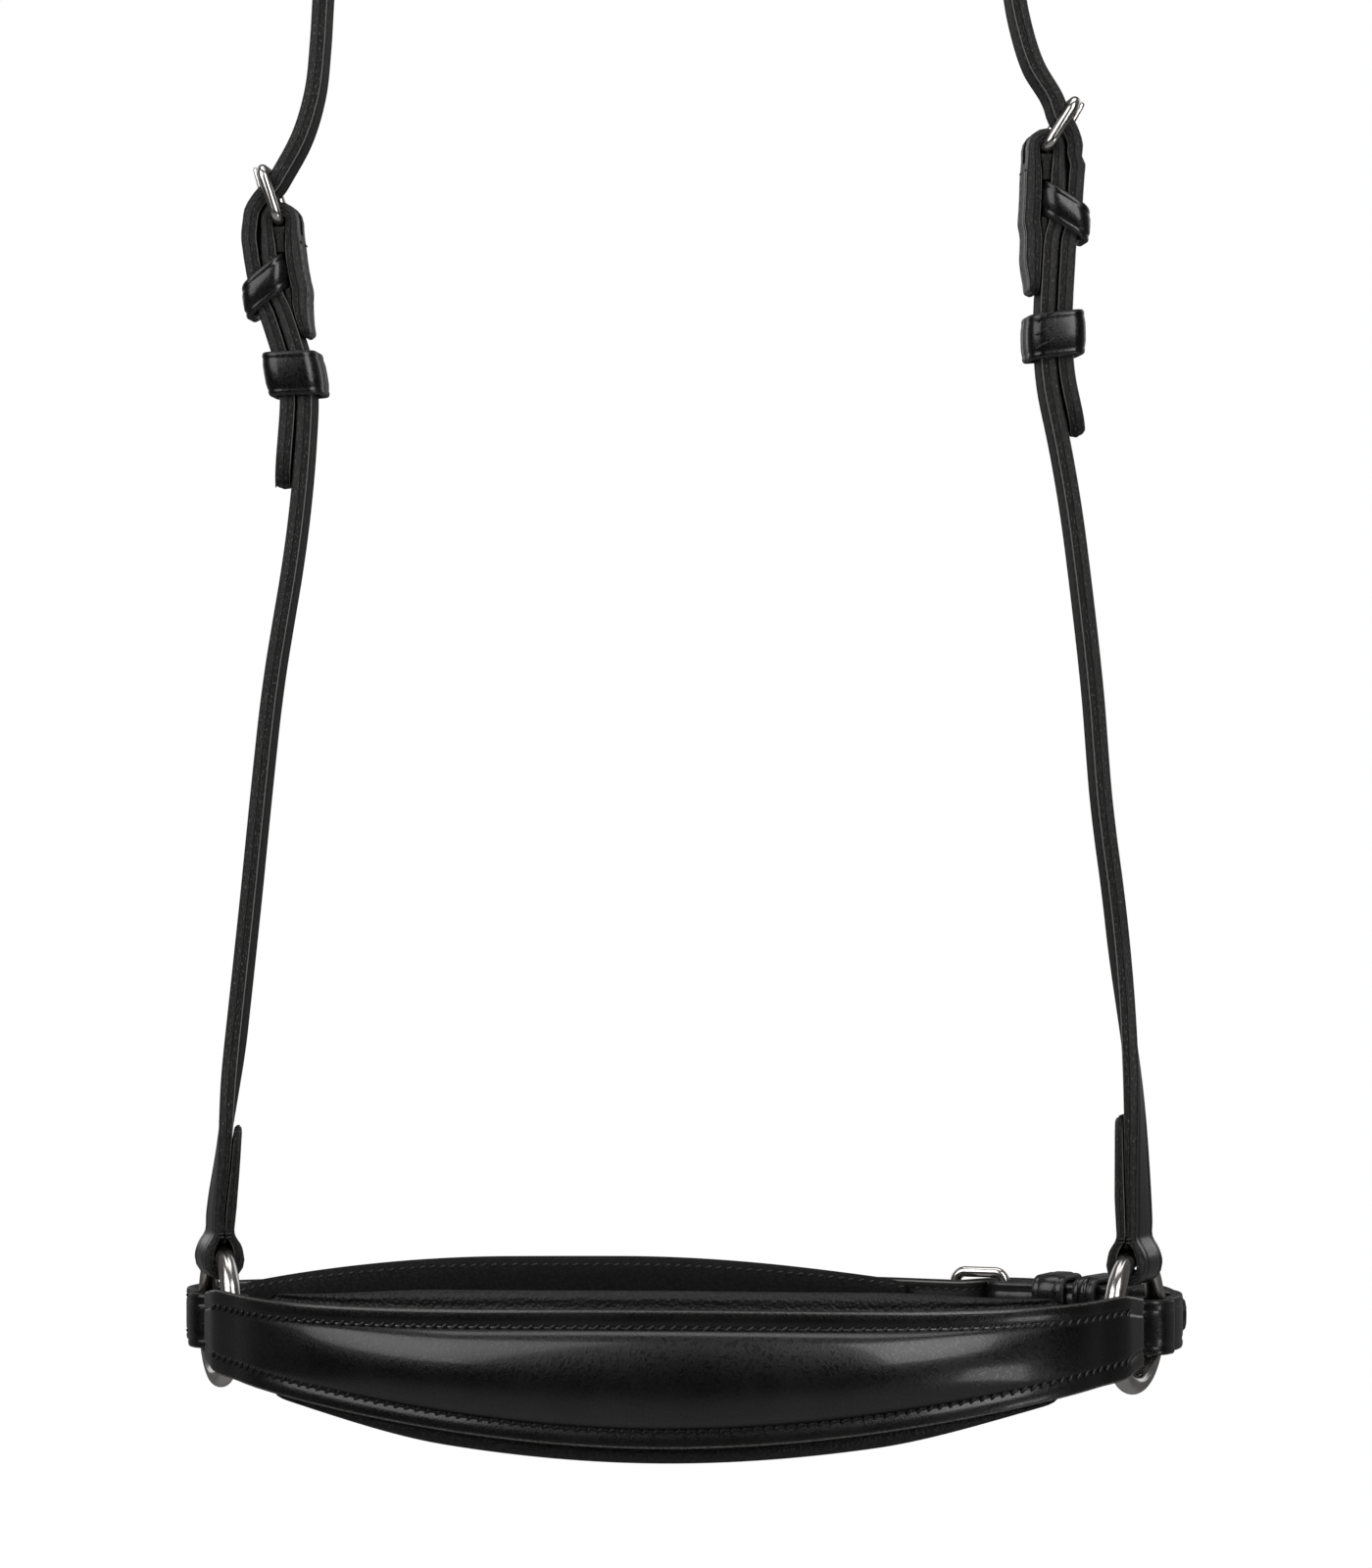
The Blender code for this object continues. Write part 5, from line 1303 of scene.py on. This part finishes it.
RUNNER_SHEAR = {"near": -0.10, "off": -0.14}
keeper_frames = {}
for side in SIDES:
    line = cheeks[side][0]
    for kind, drop, height, room, shear, body in (
            ("upper_keeper_", FIXED_KEEPER_DROP, FIXED_KEEPER_HEIGHT, FIXED_KEEPER_ROOM,
             FIXED_KEEPER_SHEAR_SHARE, "head_loop"),
            ("runner_keeper_", RUNNER_DROP[side], RUNNER_HEIGHT, RUNNER_ROOM[side], RUNNER_SHEAR[side],
             side + "_runner")):
        distance = line.length - drop
        main = cheek_level(line, distance)
        low = main - INNER_FACE + (room - SEAT_GAP if body == "head_loop" else 0)
        spot = keeper_spot(line, distance, height, upright(side))
        made = keeper("show_" + kind + side, spot, low, main + LAYER_PITCH + OUTER_FACE, height, room, shear)
        keeper_frames[kind + side] = (spot, low - room - KEEPER_THICK, height, shear, body)
        dress(made, body, "smooth_leather", kind + side)
for name, drop, height, room, body in (
        ("jaw_fixed_keeper", JAW_FIXED_KEEPER, FIXED_KEEPER_HEIGHT, FIXED_KEEPER_ROOM, "noseband"),
        ("jaw_runner_keeper", JAW_RUNNER, JAW_RUNNER_HEIGHT, JAW_RUNNER_ROOM, "jaw_runner")):
    distance = JAW_BAR - drop
    main = jaw_buckle_level(distance)
    spot = keeper_spot(jaw, distance, height, jaw_place)
    made = keeper("show_" + name, spot, -main - OUTER_FACE, main + LAYER_PITCH + OUTER_FACE, height, room)
    keeper_frames[name] = (spot, -main - OUTER_FACE - room - KEEPER_THICK, height, 0, body)
    dress(made, body, "smooth_leather", name)
print("keepers:", sorted(keeper_frames))

# %% [markdown]
# The metal is bent wire. A ring is one even hoop. A buckle's frame is a rounded rectangle, with a shallow
# rest for the tongue in its toe. A tongue is a pin whose root is bent into an eye round the bar.

# %% Rings, buckles and tongues
WIRE_SIDES = 20
TOE_REST_HALF, TOE_REST_PLACES = 0.0014, (-0.0024, -0.0017, -0.0011, 0, 0.0011, 0.0017, 0.0024)


def round_row(point, first, second, radius):
    return [point + (first * math.cos(angle) + second * math.sin(angle)) * radius for angle in full_turn(24)]


for side, sign in SIDES.items():
    hub = Vector((sign * RING_HALF_SPAN, 0, -CROWN_RISE))
    axis = Vector((math.cos(RING_TURN), -sign * math.sin(RING_TURN), 0))
    level_way = Vector((0, 0, 1)).cross(axis)
    rows = []
    for angle in full_turn(120):
        way = level_way * math.cos(angle) + Vector((0, 0, 1)) * math.sin(angle)
        rows.append(round_row(hub + way * RING_RADIUS, way, axis, RING_WIRE_RADIUS))
    made = lofted("show_ring_" + side, rows, steel, loop=True)
    dress(made, side + "_ring", "stainless_steel", "ring_" + side)


def buckle_frame(name, spot):
    half = HALF_WIDTH + BUCKLE_SIDE_ROOM + BUCKLE_WIRE_RADIUS
    path = []
    for index, corner in enumerate(loop_corners(0, BUCKLE_LENGTH, half, BUCKLE_CORNER, -1)):
        path += [(Vector((point.x, 0, point.y)), Vector((way.x, 0, way.y)), 1) for point, way in corner]
        if index == 1:
            path += [(Vector((BUCKLE_LENGTH, 0, z)), Vector((1, 0, 0)), 0.80 if abs(z) < TOE_REST_HALF else 1)
                     for z in TOE_REST_PLACES]
    rows = []
    for point, way, size in path:
        row = []
        for angle in full_turn(WIRE_SIDES):
            rise = math.sin(angle) * BUCKLE_WIRE_RADIUS * (size if math.sin(angle) > 0 else 1)
            row.append(spot @ (point + way * math.cos(angle) * BUCKLE_WIRE_RADIUS + Vector((0, rise, 0))))
        rows.append(row)
    return lofted(name, rows, steel, loop=True)


def tongue(name, spot):
    bore = BUCKLE_WIRE_RADIUS + SEAT_GAP
    middle = bore + TONGUE_EYE_WALL / 2
    path = []
    for step in range(25):
        angle = math.radians(-22 - step * 238 / 24)
        path.append((Vector((math.cos(angle), math.sin(angle))) * middle, TONGUE_EYE_WALL, TONGUE_WIDTH))
    start = path[-1][0]
    heel = Vector((start.x + TONGUE_ROOT_THICK * 1.3, bore + TONGUE_ROOT_THICK * 0.52))
    toe = Vector((BUCKLE_LENGTH - BUCKLE_WIRE_RADIUS, bore + TONGUE_TIP_THICK / 2))
    tip = Vector((BUCKLE_LENGTH + TONGUE_OVERHANG, bore + TONGUE_TIP_THICK / 2 - 0.0001))
    path += [(heel, TONGUE_ROOT_THICK * 0.92, TONGUE_WIDTH),
             (heel.lerp(toe, 0.35), TONGUE_ROOT_THICK * 0.9, TONGUE_WIDTH * 0.97),
             (heel.lerp(toe, 0.7), TONGUE_ROOT_THICK * 0.84, TONGUE_WIDTH * 0.92),
             (toe, TONGUE_TIP_THICK, TONGUE_WIDTH * 0.88),
             (toe.lerp(tip, 0.6), TONGUE_TIP_THICK, TONGUE_WIDTH * 0.84),
             (tip, TONGUE_TIP_THICK * 0.94, TONGUE_WIDTH * 0.74),
             (tip + Vector((TONGUE_TIP_THICK * 0.32, 0)), TONGUE_TIP_THICK * 0.62, TONGUE_WIDTH * 0.46)]
    points = [point for point, thick, width in path]
    rows = []
    for index, (point, thick, width) in enumerate(path):
        before, after = points[max(0, index - 1)], points[min(len(points) - 1, index + 1)]
        ahead = (after - before).normalized()
        side_way = Vector((-ahead.y, ahead.x))
        row = []
        for angle in full_turn(WIRE_SIDES):
            rise = squared(math.sin(angle), 0.7) * thick / 2
            wide = squared(math.cos(angle), 0.6) * width / 2
            flat = point + side_way * rise
            row.append(spot @ Vector((flat.x, flat.y, wide)))
        rows.append(row)
    return lofted(name, rows, steel)


for key, frame_node, tongue_node, frame_body, tongue_body in (
        ("near", "head_buckle_near", "head_tongue_near", "near_buckle", "near_tongue"),
        ("off", "head_buckle_off", "head_tongue_off", "off_buckle", "off_tongue"),
        ("jaw", "jaw_buckle", "jaw_tongue", "jaw_frame", "jaw_prong")):
    dress(buckle_frame("show_" + frame_node, bar_frames[key]), frame_body, "stainless_steel", frame_node)
    dress(tongue("show_" + tongue_node, bar_frames[key]), tongue_body, "stainless_steel", tongue_node)
print("metal dressed")

# %% [markdown]
# Nothing repeats as often as a stitch, so one Geometry Nodes tree makes them all. It walks along rows of
# points, sets a slanted capsule of thread at every pitch, and lays it on the leather by the direction
# "way_out" that the rows carry. The seed makes the small unevenness of hand work the same in each run.

# %% Stitching tree
def stitching_tree():
    tree = bpy.data.node_groups.new("saddle_stitching", "GeometryNodeTree")
    socket = tree.interface.new_socket
    socket("Rows", in_out="INPUT", socket_type="NodeSocketGeometry")
    for name, value in (("Pitch", 0.0027), ("Stitch Length", 0.0022), ("Thread Width", 0.00075),
                        ("Thread Height", 0.00055), ("Lean", 0.35), ("Unevenness", 0.08)):
        socket(name, in_out="INPUT", socket_type="NodeSocketFloat").default_value = value
    socket("Seed", in_out="INPUT", socket_type="NodeSocketInt").default_value = 4
    socket("Thread", in_out="INPUT", socket_type="NodeSocketMaterial")
    socket("Stitches", in_out="OUTPUT", socket_type="NodeSocketGeometry")

    node = Recipe(tree).node

    def given(name):
        return node("NodeGroupInput", {}, {}, name)

    curve = node("GeometryNodeMeshToCurve", {}, {"Mesh": given("Rows")})
    spaced = node("GeometryNodeResampleCurve", {"mode": "LENGTH"}, {"Curve": curve, "Length": given("Pitch")})
    ahead = node("GeometryNodeInputTangent", {}, {})
    way_out = node("GeometryNodeInputNamedAttribute", {"data_type": "FLOAT_VECTOR"}, {"Name": "way_out"})
    turned = node("FunctionNodeAlignRotationToVector", {"axis": "X"}, {"Vector": ahead})
    laid = node("FunctionNodeAlignRotationToVector", {"axis": "Z", "pivot_axis": "X"},
                {"Rotation": turned, "Vector": way_out})
    chance = node("FunctionNodeRandomValue", {"data_type": "FLOAT"},
                  {2: -1.0, 3: 1.0, "Seed": given("Seed")}, 1)
    wobble = chance * given("Unevenness") + given("Lean")
    slant = node("FunctionNodeAxisAngleToRotation", {}, {"Axis": (0, 0, 1), "Angle": wobble})
    leaned = node("FunctionNodeRotateRotation", {"rotation_space": "LOCAL"},
                  {"Rotation": laid, "Rotate By": slant})
    size = node("ShaderNodeCombineXYZ", {}, {0: given("Stitch Length"), 1: given("Thread Width"),
                                             2: given("Thread Height")})
    capsule = node("GeometryNodeMeshUVSphere", {}, {"Segments": 8, "Rings": 5, "Radius": 0.5})
    placed = node("GeometryNodeInstanceOnPoints", {}, {"Points": spaced, "Instance": capsule,
                                                       "Rotation": leaned, "Scale": size})
    real = node("GeometryNodeRealizeInstances", {}, {"Geometry": placed})
    rounded = node("GeometryNodeSetShadeSmooth", {}, {"Geometry": real, "Shade Smooth": True})
    dyed = node("GeometryNodeSetMaterial", {}, {"Geometry": rounded, "Material": given("Thread")})
    node("NodeGroupOutput", {}, {"Stitches": dyed})
    return tree


stitching = stitching_tree()
print("stitching tree:", len(stitching.nodes), "nodes")


def sewn(name, rows, body, **sizes):
    """Rows of stitches as one mesh. Each row is a list of (point on the leather, way out of it)."""
    points, ways, edges = [], [], []
    for row in rows:
        edges += [(len(points) + step, len(points) + step + 1) for step in range(len(row) - 1)]
        points += [tuple(point) for point, way in row]
        ways += [value for point, way in row for value in way]
    data = bpy.data.meshes.new(name)
    data.from_pydata(points, edges, [])
    data.attributes.new("way_out", "FLOAT_VECTOR", "POINT").data.foreach_set("vector", ways)
    made = in_scene(name, data)
    step = made.modifiers.new("stitching", "NODES")
    step.node_group = stitching
    sizes["Thread"] = thread
    for item in stitching.interface.items_tree:
        if item.in_out == "INPUT" and item.name in sizes:
            step[item.identifier] = sizes[item.name]
    applied(made)
    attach(made, body)
    print(name, "has", len(made.data.polygons), "faces")
    return made


# %% [markdown]
# The rows follow the same stations as the straps. On a strap they lie in the pressed channels near both
# edges, on the outer leather and on the lining.

# %% Sewn rows
STRAP_SINK, NOSE_SINK = 0.00026, 0.0003
BINDING_PLACES, BINDING_INSET = (0.0004, 0.0013), 0.0017
SEAM_START, SEAM_RUN, NOSE_SEWN_START = 0.0022, 0.0034, 0.020
THREAD_ROOM = 0.0001
UNPARED_SHARE, JAW_SEWN_COLUMNS = 0.9, (50, 34)
BOTH_FACES = (OUTER_FACE, -INNER_FACE)


def unpared(stations, ends):
    """The stations that are sewn: without the ends and wherever the leather has its full thickness."""
    return [station for station in stations[ends:-ends] if station[2] > UNPARED_SHARE]


def strap_rows(stations, place, faces):
    rows = []
    for face in faces:
        for sign in (1, -1):
            row = []
            for point, normal, share, half in stations:
                across = sign * (half - CHANNEL_INSET * half / HALF_WIDTH)
                depth = math.copysign(STRAP_SINK, face)
                spot = place(point + normal * (face - depth) * share, across)
                above = place(point + normal * (face + depth) * share, across)
                row.append((spot, (above - spot).normalized()))
            rows.append(row)
    return rows


def throat_rows(side):
    """A binding of thread over both legs, on the front and on the back edge."""
    line = cheeks[side][0]
    rows = []
    for distance in (RING_RADIUS + RING_CLOSE_RUN + place for place in BINDING_PLACES):
        point, ahead = line.at(distance)
        out = right_of(ahead)
        reach = ring_level(distance) + OUTER_FACE * ring_share(distance) - BINDING_INSET
        for sign in (1, -1):
            row = []
            for step in range(9):
                way = between(-reach, reach, step / 8)
                spot = upright(side)(point + out * way, sign * (HALF_WIDTH + THREAD_ROOM))
                inside = upright(side)(point + out * way, 0)
                row.append((spot, (spot - inside).normalized()))
            rows.append(row)
    return rows


rows = []
for side in SIDES:
    line, stations = cheeks[side]
    rows += strap_rows(unpared(stations, 2), upright(side), BOTH_FACES)
sewn("stitches_cheek_straps", rows, "head_loop")
sewn("stitches_throats", throat_rows("near") + throat_rows("off"), "head_loop",
     **{"Pitch": 0.0021, "Stitch Length": 0.0022, "Lean": 0.15, "Thread Width": 0.0008})
sewn("stitches_head_strap", strap_rows(unpared(head, 4), head_place, BOTH_FACES), "head_loop")
sewn("stitches_jaw_straps", strap_rows(unpared(jaw_long, 6), jaw_place, BOTH_FACES), "noseband")


def seam_row(name, slant):
    """Stitches over the butt seam of a runner, on its front."""
    spot, low, height, shear, body = keeper_frames[name]
    face = HALF_WIDTH + KEEPER_SIDE_ROOM + KEEPER_THICK + THREAD_ROOM
    rows = []
    for share in (-0.24, 0.06, 0.36):
        row = []
        for step in (0, 1):
            out = low + SEAM_START + SEAM_RUN * step
            row.append((spot @ Vector((height * share + slant * step * SEAM_RUN - shear * out, out, -face)),
                        (spot.to_3x3() @ Vector((0, 0, -1))).normalized()))
        rows.append(row)
    return rows, body


for side, slant in (("near", 0.40), ("off", -0.25)):
    rows, body = seam_row("runner_keeper_" + side, slant)
    sewn("stitches_runner_" + side, rows, body, **{"Pitch": 0.0016, "Stitch Length": 0.0022, "Lean": 0.1})


def jaw_pad_row(index):
    row = []
    for before, rows, after in zip(jaw_pad_rows, jaw_pad_rows[1:], jaw_pad_rows[2:]):
        way = (rows[index + 1] - rows[index - 1]).cross(after[index] - before[index]).normalized()
        if way.dot(rows[index] - middle_of(rows)) < 0:
            way = -way
        row.append((rows[index], way))
    return row


rows = [jaw_pad_row(column) for column in JAW_SEWN_COLUMNS]
sewn("stitches_jaw_pad", rows, "noseband", **{"Thread Height": 0.0007})


def nose_rows():
    rows = []
    for sign in (1, -1):
        row = []
        for distance in spread(NOSE_SEWN_START, nose_length, NOSE_PITCH):
            point, out = nose_spot(distance)
            across = sign * (nose_half_height(distance, nose_length) - NOSE_MARGIN)
            base = point + out * nose_level(distance)
            spot = nose_place(base + out * (NOSE_THICK - NOSE_SINK), across)
            row.append((spot, Vector((out.x, out.y, 0))))
        rows.append(row + [(Vector((-p.x, p.y, p.z)), Vector((-w.x, w.y, 0))) for p, w in reversed(row[:-1])])
    return rows


sewn("stitches_nosepiece", nose_rows(), "noseband", **{"Stitch Length": 0.0029, "Thread Width": 0.0011,
                                                       "Thread Height": 0.0011, "Lean": 0.75})

# %% [markdown]
# The object hangs from its head strap, as it would from a hook, so the floor lies well below it. The
# floor fades into the white background, where only its shadow would show. The lamps are large and soft.
# Polished surfaces see a dim room with a paler floor in front.

# %% Floor, background and lamps
FLOOR_LEVEL = -0.95
floor_data = bpy.data.meshes.new("studio_floor")
mesh = bmesh.new()
bmesh.ops.create_circle(mesh, cap_ends=True, segments=96, radius=2.2)
bmesh.ops.translate(mesh, vec=(0, 0, FLOOR_LEVEL), verts=mesh.verts)
mesh.to_mesh(floor_data)
mesh.free()
pale = Recipe(bpy.data.materials.new("pale_floor"))
reach = pale.node("ShaderNodeVectorMath", {"operation": "LENGTH"}, {0: pale.place()}, "Value")
matt = pale.node("ShaderNodeBsdfDiffuse", {}, {"Color": grey(0.90)})
white = pale.node("ShaderNodeEmission", {}, {"Color": grey(1.0), "Strength": 1.0})
blend = pale.node("ShaderNodeMixShader", {}, {0: reach.between(1.15, 1.9), 1: matt, 2: white})
pale.node("ShaderNodeOutputMaterial", {}, {"Surface": blend})
floor = keep("studio_floor", floor_data, pale.owner)
floor.visible_glossy = False

world = bpy.data.worlds.new("studio")
bpy.context.scene.world = world
room = Recipe(world)
way = room.node("ShaderNodeTexCoord", {}, {}, "Generated")
backward = room.node("ShaderNodeSeparateXYZ", {}, {0: way}, "Y")
upward = room.node("ShaderNodeSeparateXYZ", {}, {0: way}, "Z")
glossy, camera_ray, through = (room.node("ShaderNodeLightPath", {}, {}, "Is " + kind + " Ray")
                               for kind in ("Glossy", "Camera", "Transmission"))
in_front = (0 - backward).between(-0.25, 0.15)
below, above = (0 - upward).between(0.25, 0.75), upward.between(0.1, 0.9)
surround = room.mix(in_front, grey(0.12), grey(0.02))
surround = room.mix(above, surround, grey(0.12))
surround = room.mix(below, surround, room.mix(in_front, grey(0.22), grey(0.34)))
seen = room.mix(glossy, grey(0.30), surround)
seen = room.mix(camera_ray.most(through), seen, grey(1.0))
light = room.node("ShaderNodeBackground", {}, {"Color": seen, "Strength": 1.0})
room.node("ShaderNodeOutputWorld", {}, {"Surface": light})


def softbox(name, place, aim, size, watts):
    data = bpy.data.lights.new(name, "AREA")
    data.shape = "RECTANGLE"
    data.size, data.size_y = size
    data.energy = watts
    made = in_scene(name, data)
    made.location = place
    made.rotation_euler = (Vector(aim) - Vector(place)).to_track_quat("-Z", "Y").to_euler()


softbox("key_softbox", (-0.80, -0.84, 0.25), (-0.04, -0.06, -0.50), (1.10, 1.15), 11.5)
softbox("fill_softbox", (0.72, -0.92, 0.25), (0.04, -0.06, -0.50), (0.62, 1.15), 10.5)
softbox("top_softbox", (0, 0.15, 1.1), (0, 0, -0.4), (1.2, 0.8), 8)
softbox("right_softbox", (0.90, -0.60, -0.85), (0.117, 0, -0.52), (0.30, 0.30), 1.2)
for sign in (1, -1):
    softbox("back_softbox", (0.95 * sign, 1.25, 0.15), (0, 0, -0.35), (0.80, 1.00), 2)
print("lamps placed")
